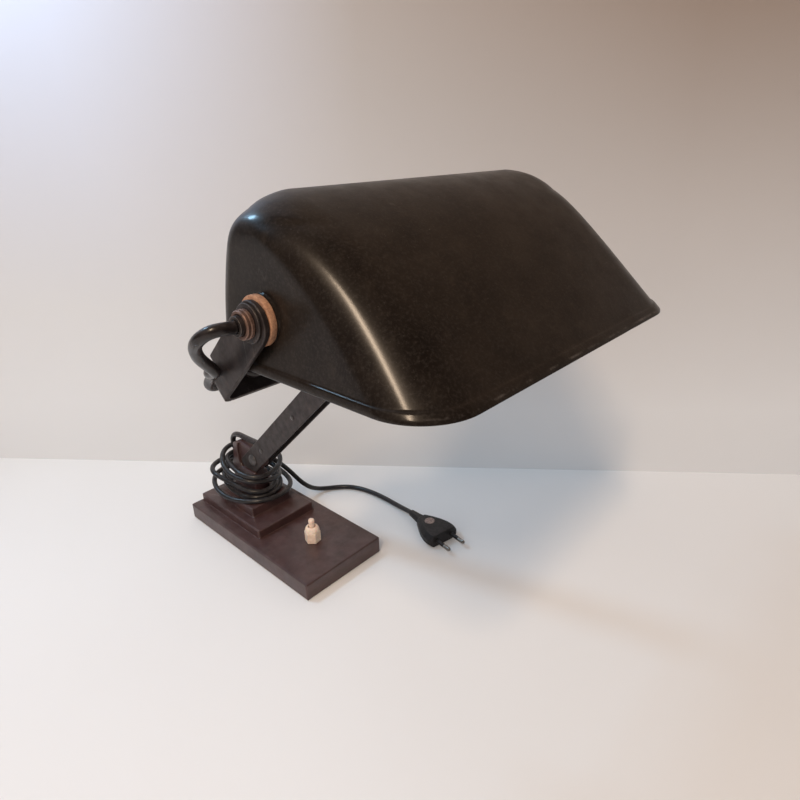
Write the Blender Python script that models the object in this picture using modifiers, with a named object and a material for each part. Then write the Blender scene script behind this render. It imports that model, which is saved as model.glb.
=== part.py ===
"""Banker desk lamp with a tilting trough shade, a two-bar arm and a stepped base.

Metres, +Z up. The origin is the centre of the base plate on the floor. +X runs along
the shade, to the right, and -Y is the front, where the shade reaches out over the desk.
"""

import bmesh
import bpy
import numpy as np
from math import cos, pi, radians, sin, sqrt
from mathutils import Vector

GAP = 0.0003  # left between pieces that touch

# Base moulding: three steps, measured from the plate's centre.
PLATE_WIDTH = 0.0900
PLATE_LENGTH = 0.1920
PLATE_TOP = 0.0170
STEP_2_HALF_WIDTH = 0.0333
STEP_2_FRONT = -0.0109
STEP_2_REAR = 0.0925
STEP_2_TOP = 0.0260
STEP_3_HALF_WIDTH = 0.0233
STEP_3_FRONT = 0.0125
STEP_3_REAR = 0.0728
STEP_3_TOP = 0.0360
WALL = 0.0040
RIM_RECESS = 0.0034  # depth of the underside's cover and felt

# Column and its knuckle, which carries the arm.
COLUMN_HALF_WIDTH = 0.0079
COLUMN_FRONT = 0.0252
COLUMN_REAR = 0.0640
COLUMN_TOP = 0.0640
KNUCKLE_TOP = 0.0915
KNUCKLE_RADIUS = 0.0103
TONGUE_HALF_WIDTH = 0.0049
RECESS_RADIUS = 0.0263
HINGE = Vector((0.0, 0.0251, 0.0795))
HINGE_SCREW_RADIUS = 0.0025
WIRE_CHANNEL_Y = 0.0460
WIRE_CHANNEL_RADIUS = 0.0040
LEAD_HOLE_Z = 0.0722
COVER_SCREW_PLACES = ((-0.036, -0.087), (0.036, -0.087), (-0.036, 0.087), (0.036, 0.087))
COLUMN_SCREW_Y = (0.0320, 0.0585)

# Arm and yoke. u runs from the base hinge to the shade's pivot, w is square to it.
ARM_ANGLE = radians(43.2)
ARM_LENGTH = 0.3050
BAR_WIDTH = 0.0211
BAR_THICKNESS = 0.0018
BAR_INNER_X = 0.0052
BAR_TOP_U = 0.2411
BAR_REAR_TOP_U = 0.2320  # the top's rear corner is cut away for the lead
TAIL_DROP = 0.0130  # the tail is cut level, this far below the hinge
TAIL_REACH = 0.0215
SPACER_U = (0.0235, 0.1010)
SPACER_RADIUS = 0.0029
RIVET_RADIUS = 0.0014
BLOCK_BOTTOM_U = 0.2300
BLOCK_W = (-0.0105, -0.0008)
BLOCK_RIVET_W = -0.0058
BLOCK_RIVET_U = 0.2360
STRAP_THICKNESS = 0.0030
STRAP_W = (-0.0122, -0.0005)
CROSSBAR_U = 0.2430  # middle of the strap's thickness
STRAP_BEND = 0.0050
NOTCH_U = 0.2555
END_PLATE_RADIUS = 0.0114
END_PLATE_W = -0.0008
END_PLATE_X = 0.1282  # middle of the end plate's thickness
LEAD_RADIUS = 0.0028
SLEEVE_RADIUS = 0.0032

# Shade: level outlines from a front, a rear and an end profile, each one Bezier.
SHADE_HALF_LENGTH = 0.1263
SHADE_FRONT = -0.3043
SHADE_RIM_Z = 0.2604
SHADE_HEIGHT = 0.0841
SHADE_WALL = 0.0026
FRONT_PROFILE = ((0.0, 0.0), (0.0275, 0.0290), (0.0800, 0.0841), (0.1169, 0.0841))
REAR_PROFILE = ((0.1483, 0.0), (0.1635, 0.0453), (0.1248, 0.0841), (0.1169, 0.0841))
END_PROFILE = ((0.0, 0.0), (0.0141, 0.0725), (-0.0133, 0.0663), (0.0228, 0.0841))
FRONT_CORNER_RADIUS = 0.0316
REAR_CORNER_RADIUS = 0.0141
SHADE_LEVELS = 15
CORNER_STEPS = 6
LIP_HEIGHT = 0.0048
LIP_STEP = 0.0009

# Shade pivots, one hollow stud at the left and one solid at the right.
PIVOT = HINGE + ARM_LENGTH * Vector((0.0, -cos(ARM_ANGLE), sin(ARM_ANGLE)))
BOSS_X = 0.1226
BOSS_RADIUS = 0.0135
STUD_RADIUS = 0.0050
STUD_BORE = 0.0036
STUD_HOLE = 0.0053
WASHER_RADIUS = 0.0125
STUD_END_X = 0.1375
NUT_RADIUS = 0.0078
BULB_RADIUS = 0.0225
BULB_CENTRE = 0.0330  # from the glass's base, along its axis
WALL_INNER_X = 0.1181

# Mains cord and plug.
CORD_RADIUS = 0.0025
GLAND_Z = 0.0313
COIL_CENTRE = Vector((0.0, 0.0446, 0.0))
COIL_INNER = 0.0216
COIL_LOW_OUTER = 0.0380
COIL_LOW_TOP = 0.0443
COIL_HIGH_OUTER = 0.0268
COIL_HIGH_TOP = 0.0560
PLUG_THICKNESS = 0.0137
PLUG_FACE = Vector((0.0958, -0.1347, 0.0070))
PLUG_HEADING = Vector((-0.185, -0.983, 0.0)).normalized()
PLUG_LENGTH = 0.0360
PIN_SPACING = 0.0180
PIN_LENGTH = 0.0190
PIN_RADIUS = 0.0020

# Push switch on the plate.
SWITCH_Y = -0.0510
BUTTON_RADIUS = 0.0030
BUTTON_TOP = 0.0415
NUT_HEIGHT = 0.0114
NUT_CORNER_RADIUS = 0.0078

LEAD_IN_ROUTE = (
    (0.0000, 0.0960, 0.0313), (0.0000, 0.1000, 0.0313), (0.0012, 0.1060, 0.0315),
    (0.0050, 0.1125, 0.0319), (0.0125, 0.1180, 0.0326), (0.0220, 0.1195, 0.0336),
    (0.0310, 0.1155, 0.0352), (0.0370, 0.1075, 0.0366), (0.0396, 0.0980, 0.0378),
    (0.0403, 0.0880, 0.0386), (0.0403, 0.0760, 0.0390), (0.0402, 0.0645, 0.0390),
)
LOOP_AND_TAIL_ROUTE = (
    (-0.0224, 0.0485, 0.0630), (-0.0210, 0.0600, 0.0684), (-0.0152, 0.0696, 0.0732),
    (-0.0063, 0.0752, 0.0764), (0.0045, 0.0752, 0.0770), (0.0160, 0.0695, 0.0758),
    (0.0255, 0.0595, 0.0735), (0.0308, 0.0468, 0.0705), (0.0304, 0.0340, 0.0668),
    (0.0234, 0.0244, 0.0638), (0.0130, 0.0188, 0.0626), (0.0020, 0.0166, 0.0622),
    (-0.0086, 0.0186, 0.0625), (-0.0154, 0.0275, 0.0639), (-0.0180, 0.0390, 0.0660),
    (-0.0168, 0.0525, 0.0690), (-0.0134, 0.0652, 0.0706), (-0.0022, 0.0718, 0.0706),
    (0.0100, 0.0698, 0.0694), (0.0190, 0.0610, 0.0666), (0.0252, 0.0518, 0.0626),
    (0.0306, 0.0446, 0.0564), (0.0380, 0.0428, 0.0475), (0.0450, 0.0402, 0.0377),
    (0.0502, 0.0354, 0.0280), (0.0566, 0.0316, 0.0186), (0.0655, 0.0299, 0.0104),
    (0.0760, 0.0290, 0.0049), (0.0860, 0.0245, 0.0029), (0.0955, 0.0170, 0.0029),
    (0.1030, 0.0080, 0.0029), (0.1082, -0.0050, 0.0029), (0.1108, -0.0200, 0.0029),
    (0.1115, -0.0350, 0.0029), (0.1110, -0.0480, 0.0029), (0.1100, -0.0610, 0.0033),
    (0.1080, -0.0730, 0.0050), (0.1058, -0.0845, 0.0068),
)
LEAD_OVER_KNUCKLE_ROUTE = (
    (0.0, 0.0165, 0.0985),
    (0.0, 0.0300, 0.0960),
    (0.0, 0.0460, 0.0953),
    (0.0, 0.0580, 0.0948),
    (0.0, 0.0665, 0.0915),
    (0.0, 0.0705, 0.0840),
    (0.0, 0.0685, 0.0760),
    (0.0, 0.0645, 0.0725),
)
STUD_TO_YOKE_ROUTE = (
    (-0.1379, -0.1972, 0.2883),
    (-0.1405, -0.1972, 0.2883),
    (-0.1450, -0.1985, 0.2891),
    (-0.1500, -0.1966, 0.2886),
    (-0.1527, -0.1903, 0.2844),
    (-0.1512, -0.1829, 0.2787),
    (-0.1470, -0.1766, 0.2716),
    (-0.1405, -0.1710, 0.2646),
)
# The lead's places along the yoke and the arm, as x, u and w.
ROUND_THE_NOTCH = (
    (-0.1345, 0.2630, -0.0018),
    (-0.1341, 0.2562, 0.0014),
    (-0.1320, 0.2516, 0.0030),
    (-0.1288, 0.2474, 0.0043),
    (-0.1258, 0.2425, 0.0050),
    (-0.1240, 0.2350, 0.0063),
    (-0.1230, 0.2278, 0.0067),
    (-0.1205, 0.2232, 0.0062),
    (-0.1168, 0.2232, 0.0054),
    (-0.1143, 0.2295, 0.0048),
    (-0.1130, 0.2380, 0.0044),
    (-0.1116, 0.2458, 0.0038),
    (-0.1100, 0.2487, -0.0008),
    (-0.1078, 0.2485, -0.0029),
    (-0.1050, 0.2484, -0.0030),
)
ALONG_THE_CROSSBAR = (
    (-0.1045, 0.2482, -0.0031),
    (-0.1000, 0.2481, -0.0033),
    (-0.0800, 0.2478, -0.0033),
    (-0.0600, 0.2478, -0.0033),
    (-0.0380, 0.2478, -0.0031),
    (-0.0230, 0.2479, -0.0010),
    (-0.0110, 0.2478, 0.0030),
    (-0.0030, 0.2445, 0.0056),
    (0.0, 0.2385, 0.0062),
    (0.0, 0.2300, 0.0062),
    (0.0, 0.1500, 0.0062),
    (0.0, 0.0600, 0.0062),
    (0.0, 0.0300, 0.0065),
)

lamp = bpy.data.collections.new("banker_desk_lamp")
cutters = bpy.data.collections.new("cutters")


def clear_scene():
    for item in list(bpy.data.objects):
        bpy.data.objects.remove(item, do_unlink=True)
    for group in (lamp, cutters):
        bpy.context.scene.collection.children.link(group)


def material(name, colour, roughness, metallic=0.0):
    made = bpy.data.materials.new(name)
    made.use_nodes = True
    shader = made.node_tree.nodes["Principled BSDF"]
    shader.inputs["Base Color"].default_value = (*colour, 1.0)
    shader.inputs["Roughness"].default_value = roughness
    shader.inputs["Metallic"].default_value = metallic
    return made


BAKELITE = material("brown_bakelite", (0.075, 0.035, 0.028), 0.45)
SHADE_BAKELITE = material("dark_bakelite", (0.018, 0.014, 0.012), 0.35)
STEEL = material("blackened_steel", (0.06, 0.055, 0.05), 0.45, 0.8)
BARE_STEEL = material("bare_steel", (0.45, 0.44, 0.42), 0.35, 1.0)
BRASS = material("tarnished_brass", (0.35, 0.2, 0.1), 0.45, 0.9)
FIBRE = material("red_fibre", (0.5, 0.24, 0.12), 0.7)
IVORY = material("ivory_urea", (0.75, 0.68, 0.55), 0.4)
RUBBER = material("black_rubber", (0.02, 0.02, 0.02), 0.6)
IRON = material("cast_iron", (0.1, 0.1, 0.1), 0.7, 0.7)
FELT = material("dark_felt", (0.03, 0.05, 0.03), 0.95)
PORCELAIN = material("porcelain", (0.8, 0.8, 0.76), 0.25)
GLASS = material("opal_glass", (0.9, 0.9, 0.88), 0.15)
PLASTIC = material("black_plastic", (0.015, 0.015, 0.015), 0.4)
LABEL = material("grey_label", (0.6, 0.6, 0.58), 0.5)


def add(name, mesh, made_of, location=(0, 0, 0), rotation=(0, 0, 0), group=lamp):
    item = bpy.data.objects.new(name, mesh)
    item.location = location
    item.rotation_euler = rotation
    group.objects.link(item)
    if made_of:
        item.data.materials.append(made_of)
    return item


def box(name, low, high, made_of=None, bevel=0.0, group=lamp):
    """A box between two corners, with its edges bevelled where bevel isn't 0."""
    low = Vector(low)
    high = Vector(high)
    mesh = bpy.data.meshes.new(name)
    work = bmesh.new()
    bmesh.ops.create_cube(work, size=1.0)
    bmesh.ops.scale(work, verts=work.verts, vec=high - low)
    work.to_mesh(mesh)
    work.free()
    item = add(name, mesh, made_of, (low + high) / 2, group=group)
    if bevel:
        round_edges(item, bevel)
    return item


def round_edges(item, width, segments=2, angle=40):
    rounding = item.modifiers.new("rounding", "BEVEL")
    rounding.width = width
    rounding.segments = segments
    rounding.limit_method = "ANGLE"
    rounding.angle_limit = radians(angle)
    return rounding


def smooth(item, angle=35):
    item.data.shade_smooth()
    item.data.set_sharp_from_angle(angle=radians(angle))


ALONG_X = (0, pi / 2, 0)
ALONG_MINUS_X = (0, -pi / 2, 0)


def turned(name, profile, made_of=None, location=(0, 0, 0), rotation=(0, 0, 0), steps=24,
           closed=False, group=lamp):
    """A Screw of a profile of (radius, height), which runs down its outer side."""
    mesh = bpy.data.meshes.new(name)
    points = [(radius, 0.0, height) for radius, height in profile]
    edges = [(i, i + 1) for i in range(len(points) - 1)]
    if closed:
        edges.append((len(points) - 1, 0))
    mesh.from_pydata(points, edges, [])
    item = add(name, mesh, made_of, location, rotation, group)
    screw = item.modifiers.new("turning", "SCREW")
    screw.axis = "Z"
    screw.steps = steps
    screw.render_steps = steps
    screw.use_merge_vertices = True
    screw.merge_threshold = 0.00001
    screw.use_smooth_shade = True
    return item


def rod(name, radius, length, made_of=None, location=(0, 0, 0), rotation=(0, 0, 0),
        steps=20, group=lamp):
    """A plain cylinder, centred on its location."""
    half = length / 2
    profile = ((0, half), (radius, half), (radius, -half), (0, -half))
    return turned(name, profile, made_of, location, rotation, steps, group=group)


def ring(name, outer, inner, length, made_of, location, rotation=(0, 0, 0), steps=24):
    half = length / 2
    profile = ((outer, half), (outer, -half), (inner, -half), (inner, half))
    return turned(name, profile, made_of, location, rotation, steps, closed=True)


def hex_nut(name, corner_radius, bore, height, made_of, location, rotation=(0, 0, 0)):
    """A hexagonal nut with chamfered corners and a round bore, centred on its location."""
    half = height / 2
    chamfer = 0.0006
    profile = ((0, half), (corner_radius - 1.5 * chamfer, half), (corner_radius, half - chamfer),
               (corner_radius, -half), (0, -half))
    nut = turned(name, profile, made_of, location, rotation, 6)
    nut.modifiers["turning"].use_smooth_shade = False
    cut(nut, rod("bore_" + name, bore, 2 * height, location=location, rotation=rotation, group=cutters))
    return nut


def real_mesh(item, weld=True):
    """Turns a curve or a modified object into a plain mesh object, as it now looks."""
    bpy.context.view_layer.update()
    graph = bpy.context.evaluated_depsgraph_get()
    mesh = bpy.data.meshes.new_from_object(item.evaluated_get(graph))
    if weld:
        work = bmesh.new()
        work.from_mesh(mesh)
        bmesh.ops.remove_doubles(work, verts=work.verts, dist=0.000005)
        bmesh.ops.recalc_face_normals(work, faces=work.faces)
        work.to_mesh(mesh)
        work.free()
    name = item.name
    group = item.users_collection[0]
    place = item.matrix_world.copy()
    bpy.data.objects.remove(item, do_unlink=True)
    made = bpy.data.objects.new(name, mesh)
    made.matrix_world = place
    group.objects.link(made)
    return made


def outline(name, points, half_thickness, made_of=None, x=0.0, group=lamp):
    """A flat outline of (y, z) points at x, extruded along X to both sides."""
    curve = bpy.data.curves.new(name, "CURVE")
    curve.dimensions = "2D"
    curve.fill_mode = "BOTH"
    curve.extrude = half_thickness
    spline = curve.splines.new("POLY")
    spline.points.add(len(points) - 1)
    for point, (y, z) in zip(spline.points, points):
        point.co = (y, z, 0.0, 1.0)
    spline.use_cyclic_u = True
    item = add(name, curve, made_of, (x, 0, 0), (pi / 2, 0, pi / 2), group)
    return real_mesh(item)


def tube(name, points, radius, made_of, sides=2):
    curve = bpy.data.curves.new(name, "CURVE")
    curve.dimensions = "3D"
    curve.bevel_depth = radius
    curve.bevel_resolution = sides
    curve.use_fill_caps = True
    spline = curve.splines.new("POLY")
    spline.points.add(len(points) - 1)
    for point, place in zip(spline.points, points):
        point.co = (*place, 1.0)
    return add(name, curve, made_of)


def smooth_route(points, spacing):
    """Points at even spacing on the smooth curve through a route's own points."""
    knots = [Vector(point) for point in points]
    knots = [2 * knots[0] - knots[1]] + knots + [2 * knots[-1] - knots[-2]]
    fine = []
    for before, start, end, after in zip(knots, knots[1:], knots[2:], knots[3:]):
        for step in range(12):
            t = step / 12
            fine.append(0.5 * ((2 * start) + (end - before) * t
                               + (2 * before - 5 * start + 4 * end - after) * t ** 2
                               + (3 * start - before - 3 * end + after) * t ** 3))
    fine.append(Vector(points[-1]))
    lengths = np.cumsum([0.0] + [(b - a).length for a, b in zip(fine, fine[1:])])
    count = max(2, round(lengths[-1] / spacing) + 1)
    wanted = np.linspace(0.0, lengths[-1], count)
    columns = [np.interp(wanted, lengths, [p[axis] for p in fine]) for axis in range(3)]
    return [Vector(p) for p in zip(*columns)]


def cut(item, cutter, operation="DIFFERENCE"):
    if cutter.name not in cutters.objects:
        for group in list(cutter.users_collection):
            group.objects.unlink(cutter)
        cutters.objects.link(cutter)
    cutter.hide_render = True
    cutter.display_type = "WIRE"
    change = item.modifiers.new("cut_" + cutter.name, "BOOLEAN")
    change.operation = operation
    change.object = cutter
    change.solver = "EXACT"


def surface(name, rows, made_of, closed=False):
    """An open surface through rows of points, each row with the same count."""
    mesh = bpy.data.meshes.new(name)
    work = bmesh.new()
    grid = [[work.verts.new(point) for point in row] for row in rows]
    count = len(rows[0])
    last = count if closed else count - 1
    for lower, upper in zip(grid, grid[1:]):
        for i in range(last):
            j = (i + 1) % count
            work.faces.new((lower[i], lower[j], upper[j], upper[i]))
    bmesh.ops.remove_doubles(work, verts=work.verts, dist=0.00002)
    work.to_mesh(mesh)
    work.free()
    return add(name, mesh, made_of)


def arc(centre, radius, start, end, steps):
    """(a, b) points on an arc, in degrees, both ends included."""
    angles = np.radians(np.linspace(start, end, steps + 1))
    return [(centre[0] + radius * cos(a), centre[1] + radius * sin(a)) for a in angles]


def arm_point(u, w, x=0.0):
    along = Vector((0.0, -cos(ARM_ANGLE), sin(ARM_ANGLE)))
    across = Vector((0.0, sin(ARM_ANGLE), cos(ARM_ANGLE)))
    return HINGE + u * along + w * across + Vector((x, 0.0, 0.0))


def arm_yz(u, w):
    place = arm_point(u, w)
    return place.y, place.z


def base_moulding():
    half = PLATE_WIDTH / 2
    end = PLATE_LENGTH / 2
    edge = 0.0012
    moulding = box("base_moulding", (-half, -end, 0.0003), (half, end, PLATE_TOP),
                   BAKELITE, edge)
    steps = (
        ("step_2", STEP_2_HALF_WIDTH, STEP_2_FRONT, STEP_2_REAR, STEP_2_TOP),
        ("step_3", STEP_3_HALF_WIDTH, STEP_3_FRONT, STEP_3_REAR, STEP_3_TOP),
    )
    for name, side, front, rear, top in steps:
        block = box(name, (-side, front, 0.006), (side, rear, top), bevel=edge, group=cutters)
        cut(moulding, block, "UNION")
    hollows = (
        ("hollow_cover", half - 0.0022, -end + 0.0022, end - 0.0022, -0.001, RIM_RECESS),
        ("hollow_plate", half - WALL, -end + WALL, end - WALL, -0.001, PLATE_TOP - WALL),
        ("hollow_2", STEP_2_HALF_WIDTH - WALL, STEP_2_FRONT + WALL, STEP_2_REAR - WALL,
         0.001, STEP_2_TOP - WALL),
        ("hollow_3", STEP_3_HALF_WIDTH - WALL, STEP_3_FRONT + WALL, STEP_3_REAR - WALL,
         0.001, STEP_3_TOP - WALL),
    )
    for name, side, front, rear, bottom, top in hollows:
        cut(moulding, box(name, (-side, front, bottom), (side, rear, top), group=cutters))
    for index, (x, y) in enumerate(COVER_SCREW_PLACES):
        pillar = rod(f"pillar_{index}", 0.0042, 0.0105, location=(x, y, 0.0086), group=cutters)
        cut(moulding, pillar, "UNION")
        cut(moulding, rod(f"pillar_hole_{index}", 0.0016, 0.0090,
                          location=(x, y, 0.0060), group=cutters, steps=12))
    cut(moulding, rod("switch_hole", 0.0048, 0.02, location=(0, SWITCH_Y, PLATE_TOP),
                      group=cutters))
    cut(moulding, rod("channel_hole", WIRE_CHANNEL_RADIUS, 0.02, group=cutters,
                      location=(0, WIRE_CHANNEL_Y, STEP_3_TOP)))
    for index, y in enumerate(COLUMN_SCREW_Y):
        cut(moulding, rod(f"column_screw_hole_{index}", 0.0022, 0.02, group=cutters,
                          location=(0, y, STEP_3_TOP), steps=12))
    cut(moulding, rod("gland_hole", 0.0032, 0.02, group=cutters,
                      location=(0, STEP_3_REAR, GLAND_Z), rotation=(pi / 2, 0, 0)))


def column():
    """The column with its rounded knuckle, recessed on both sides for the arm's bars."""
    hinge_yz = (HINGE.y, HINGE.z)
    points = [(COLUMN_FRONT, STEP_3_TOP + GAP)]
    points += arc(hinge_yz, KNUCKLE_RADIUS, -90, -262, 12)
    points += arc((0.0510, KNUCKLE_TOP - 0.0070), 0.0070, 92, 8, 5)
    points += [(0.0615, COLUMN_TOP + 0.004), (COLUMN_REAR, COLUMN_TOP)]
    points += [(COLUMN_REAR, STEP_3_TOP + GAP)]
    item = outline("column", points, COLUMN_HALF_WIDTH, BAKELITE)
    item.data.materials.clear()
    item.data.materials.append(BAKELITE)
    reach = sqrt(RECESS_RADIUS ** 2 - (HINGE.z - COLUMN_TOP) ** 2)
    start = -np.degrees(np.arctan2(HINGE.z - COLUMN_TOP, reach))
    recess = [(-0.010, COLUMN_TOP)] + arc(hinge_yz, RECESS_RADIUS, start, 90, 10)
    recess.append((-0.010, HINGE.z + RECESS_RADIUS))
    for side, sign in (("left", -1), ("right", 1)):
        depth = 0.004
        cut(item, outline("recess_" + side, recess, depth, group=cutters,
                          x=sign * (TONGUE_HALF_WIDTH + depth)))
    cut(item, rod("hinge_bore", HINGE_SCREW_RADIUS + GAP, 0.04, location=HINGE,
                  rotation=ALONG_X, group=cutters))
    cut(item, rod("wire_channel", WIRE_CHANNEL_RADIUS - 0.0005, 0.045, group=cutters,
                  location=(0, WIRE_CHANNEL_Y, LEAD_HOLE_Z - 0.0205), steps=16))
    cut(item, rod("lead_hole", LEAD_RADIUS + GAP, 0.03, rotation=(pi / 2, 0, 0),
                  location=(0, WIRE_CHANNEL_Y + 0.0150, LEAD_HOLE_Z), group=cutters, steps=16))
    for index, y in enumerate(COLUMN_SCREW_Y):
        cut(item, rod(f"column_blind_hole_{index}", 0.0022, 0.02, group=cutters,
                      location=(0, y, STEP_3_TOP), steps=12))
    return item


def screw(name, radius, length, head_radius, head_height, made_of, location, rotation=(0, 0, 0)):
    """Shank along its own -Z from the underside of a domed head at the location."""
    profile = (
        (0, head_height),
        (0.55 * head_radius, 0.88 * head_height),
        (0.88 * head_radius, 0.5 * head_height),
        (head_radius, 0),
        (radius, 0),
        (radius, -length + 0.4 * radius),
        (0.6 * radius, -length),
        (0, -length),
    )
    return turned(name, profile, made_of, location, rotation, 16)


def base_inside():
    half = PLATE_WIDTH / 2
    end = PLATE_LENGTH / 2
    box("felt_pad", (-half + 0.003, -end + 0.003, 0.0), (half - 0.003, end - 0.003, 0.0012), FELT)
    cover = box("bottom_cover", (-half + 0.0026, -end + 0.0026, 0.0015),
                (half - 0.0026, end - 0.0026, 0.0030), STEEL)
    for index, (x, y) in enumerate(COVER_SCREW_PLACES, 1):
        cut(cover, rod(f"cover_hole_{index}", 0.0024, 0.01, location=(x, y, 0.002),
                       group=cutters, steps=12))
        turned(f"bottom_screw_{index}",
               ((0, 0.0095), (0.0013, 0.0092), (0.0013, 0.0030), (0.0020, 0.0022), (0.0020, 0.0016),
                (0, 0.0016)), BARE_STEEL, (x, y, 0), steps=12)
    weight = box("ballast_weight", (-0.0385, -0.0360, 0.0034), (0.0385, 0.0800, 0.0124), IRON)
    round_edges(weight, 0.0012, 1)
    block = box("terminal_block", (-0.0130, -0.0040, 0.0128), (0.0130, 0.0080, 0.0212), PORCELAIN)
    round_edges(block, 0.0006, 1)
    turned("switch_body", (
        (0, 0.0046), (0.0036, 0.0046), (0.0036, 0.0122), (0.0098, 0.0122), (0.0104, 0.0114),
        (0.0104, 0.0036), (0, 0.0036)), PORCELAIN, (0, SWITCH_Y, 0))
    for index, y in enumerate(COLUMN_SCREW_Y, 1):
        name = "column_screw_front" if index == 1 else "column_screw_rear"
        screw(name, 0.0019, 0.0125, 0.0036, 0.0022, BARE_STEEL,
              (0, y, STEP_3_TOP - WALL - GAP), (pi, 0, 0))


def switch():
    """Hexagonal nut, domed bush and push button, on the plate's centre line."""
    top = PLATE_TOP + GAP
    hex_nut("switch_nut", NUT_CORNER_RADIUS, 0.0049, NUT_HEIGHT, IVORY,
            (0, SWITCH_Y, top + NUT_HEIGHT / 2), (0, 0, radians(12)))
    dome = top + NUT_HEIGHT + GAP
    turned("switch_collar", (
        (0.0040, dome + 0.0046), (0.0052, dome + 0.0041), (0.0063, dome + 0.0028), (0.0067, dome + 0.0012),
        (0.0067, dome), (0.0045, dome), (0.0045, 0.0128), (0.0035, 0.0128), (0.0035, dome + 0.0041)),
           IVORY, (0, SWITCH_Y, 0), closed=True)
    turned("switch_button", (
        (0, BUTTON_TOP), (0.0016, BUTTON_TOP - 0.0002), (0.0027, BUTTON_TOP - 0.0012),
        (BUTTON_RADIUS, BUTTON_TOP - 0.0032), (BUTTON_RADIUS, 0.0092), (0, 0.0092)),
           IVORY, (0, SWITCH_Y, 0))


def arm_bars():
    half = BAR_WIDTH / 2
    front_u = -(TAIL_DROP - half * cos(ARM_ANGLE)) / sin(ARM_ANGLE)
    tail_z = HINGE.z - TAIL_DROP
    points = [arm_yz(BAR_REAR_TOP_U, half), arm_yz(BAR_TOP_U, BLOCK_W[1]), arm_yz(BAR_TOP_U, -half),
              arm_yz(front_u, -half)]
    corner = 0.0050
    points += arc((HINGE.y + TAIL_REACH - corner, tail_z + corner), corner, -90, 43, 5)
    for side, sign in (("left", -1), ("right", 1)):
        x = sign * (BAR_INNER_X + BAR_THICKNESS / 2)
        bar = outline("arm_bar_" + side, points, BAR_THICKNESS / 2, x=x)
        bar.data.materials.append(STEEL)
        cut(bar, rod("bar_hinge_hole_" + side, HINGE_SCREW_RADIUS + GAP, 0.01, location=(x, HINGE.y, HINGE.z),
                     rotation=ALONG_X, group=cutters))
        for index, u in enumerate(SPACER_U):
            cut(bar, rod(f"bar_rivet_hole_{side}_{index}", RIVET_RADIUS + GAP, 0.01,
                         location=arm_point(u, 0, x), rotation=ALONG_X, group=cutters, steps=12))
        cut(bar, rod("bar_block_hole_" + side, RIVET_RADIUS + GAP, 0.01, rotation=ALONG_X, group=cutters,
                     location=arm_point(BLOCK_RIVET_U, BLOCK_RIVET_W, x), steps=12))


def headed_pin(name, radius, head_radius, head_height, made_of, location):
    """A pin through both bars, with a low domed head on each outer side."""
    face = BAR_INNER_X + BAR_THICKNESS + GAP
    profile = (
        (0, face + head_height),
        (0.6 * head_radius, face + 0.8 * head_height),
        (head_radius, face + 0.2 * head_height),
        (head_radius, face),
        (radius, face),
        (radius, -face),
        (head_radius, -face),
        (head_radius, -face - 0.2 * head_height),
        (0.6 * head_radius, -face - 0.8 * head_height),
        (0, -face - head_height),
    )
    return turned(name, profile, made_of, location, ALONG_X, 16)


def arm_fasteners():
    for name, u in zip(("lower", "upper"), SPACER_U):
        headed_pin(f"spacer_rivet_{name}", RIVET_RADIUS, 0.0024, 0.0007, STEEL, arm_point(u, 0))
        ring(f"spacer_sleeve_{name}", SPACER_RADIUS, RIVET_RADIUS + GAP, 2 * (BAR_INNER_X - GAP), STEEL,
             arm_point(u, 0), ALONG_X, 16)
    headed_pin("block_rivet", RIVET_RADIUS, 0.0026, 0.0008, STEEL,
               arm_point(BLOCK_RIVET_U, BLOCK_RIVET_W))
    face = BAR_INNER_X + BAR_THICKNESS + GAP
    screw("hinge_screw", HINGE_SCREW_RADIUS, 2 * face + 0.0048, 0.0062, 0.0022, BARE_STEEL,
          HINGE + Vector((-face, 0, 0)), ALONG_MINUS_X)
    hex_nut("hinge_nut", 0.0052, HINGE_SCREW_RADIUS + GAP, 0.0040, BARE_STEEL,
            HINGE + Vector((face + 0.0020, 0, 0)), ALONG_X)


def yoke():
    """A strap bent to a U: wide end plates at the pivots, and a narrow crossbar."""
    rows = []
    for angle in (6, 25, 45, 65, 90):
        along = END_PLATE_RADIUS * cos(radians(angle))
        across = END_PLATE_RADIUS * sin(radians(angle))
        rows.append((END_PLATE_X, ARM_LENGTH + along, END_PLATE_W - across, END_PLATE_W + across))
    edges = (END_PLATE_W - END_PLATE_RADIUS, END_PLATE_W + END_PLATE_RADIUS)
    rows.append((END_PLATE_X, NOTCH_U + 0.0012, *edges))
    rows.append((END_PLATE_X, NOTCH_U, STRAP_W[0], STRAP_W[1] + 0.0012))
    rows.append((END_PLATE_X, NOTCH_U - 0.0012, *STRAP_W))
    bend = arc((END_PLATE_X - STRAP_BEND, CROSSBAR_U + STRAP_BEND), STRAP_BEND, 0, -90, 6)
    rows += [(x, u, *STRAP_W) for x, u in bend]
    rows.append((0.0, CROSSBAR_U, *STRAP_W))
    points = [[arm_point(u, low, x), arm_point(u, high, x)] for x, u, low, high in rows]
    strap = surface("yoke_strap", points, STEEL)
    mirror = strap.modifiers.new("other_side", "MIRROR")
    mirror.use_axis[0] = True
    mirror.merge_threshold = 0.0001
    thick = strap.modifiers.new("thickness", "SOLIDIFY")
    thick.thickness = STRAP_THICKNESS
    thick.offset = 0.0
    thick.use_even_offset = True
    cut(strap, rod("yoke_pivot_hole", STUD_HOLE, 0.4, location=PIVOT, rotation=ALONG_X,
                   group=cutters, steps=24))
    hole = rod("yoke_screw_hole", 0.0019, 0.02, group=cutters, steps=12,
               location=arm_point(CROSSBAR_U, BLOCK_RIVET_W))
    hole.rotation_euler = (pi / 2 - ARM_ANGLE, 0, 0)
    cut(strap, hole)


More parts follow.
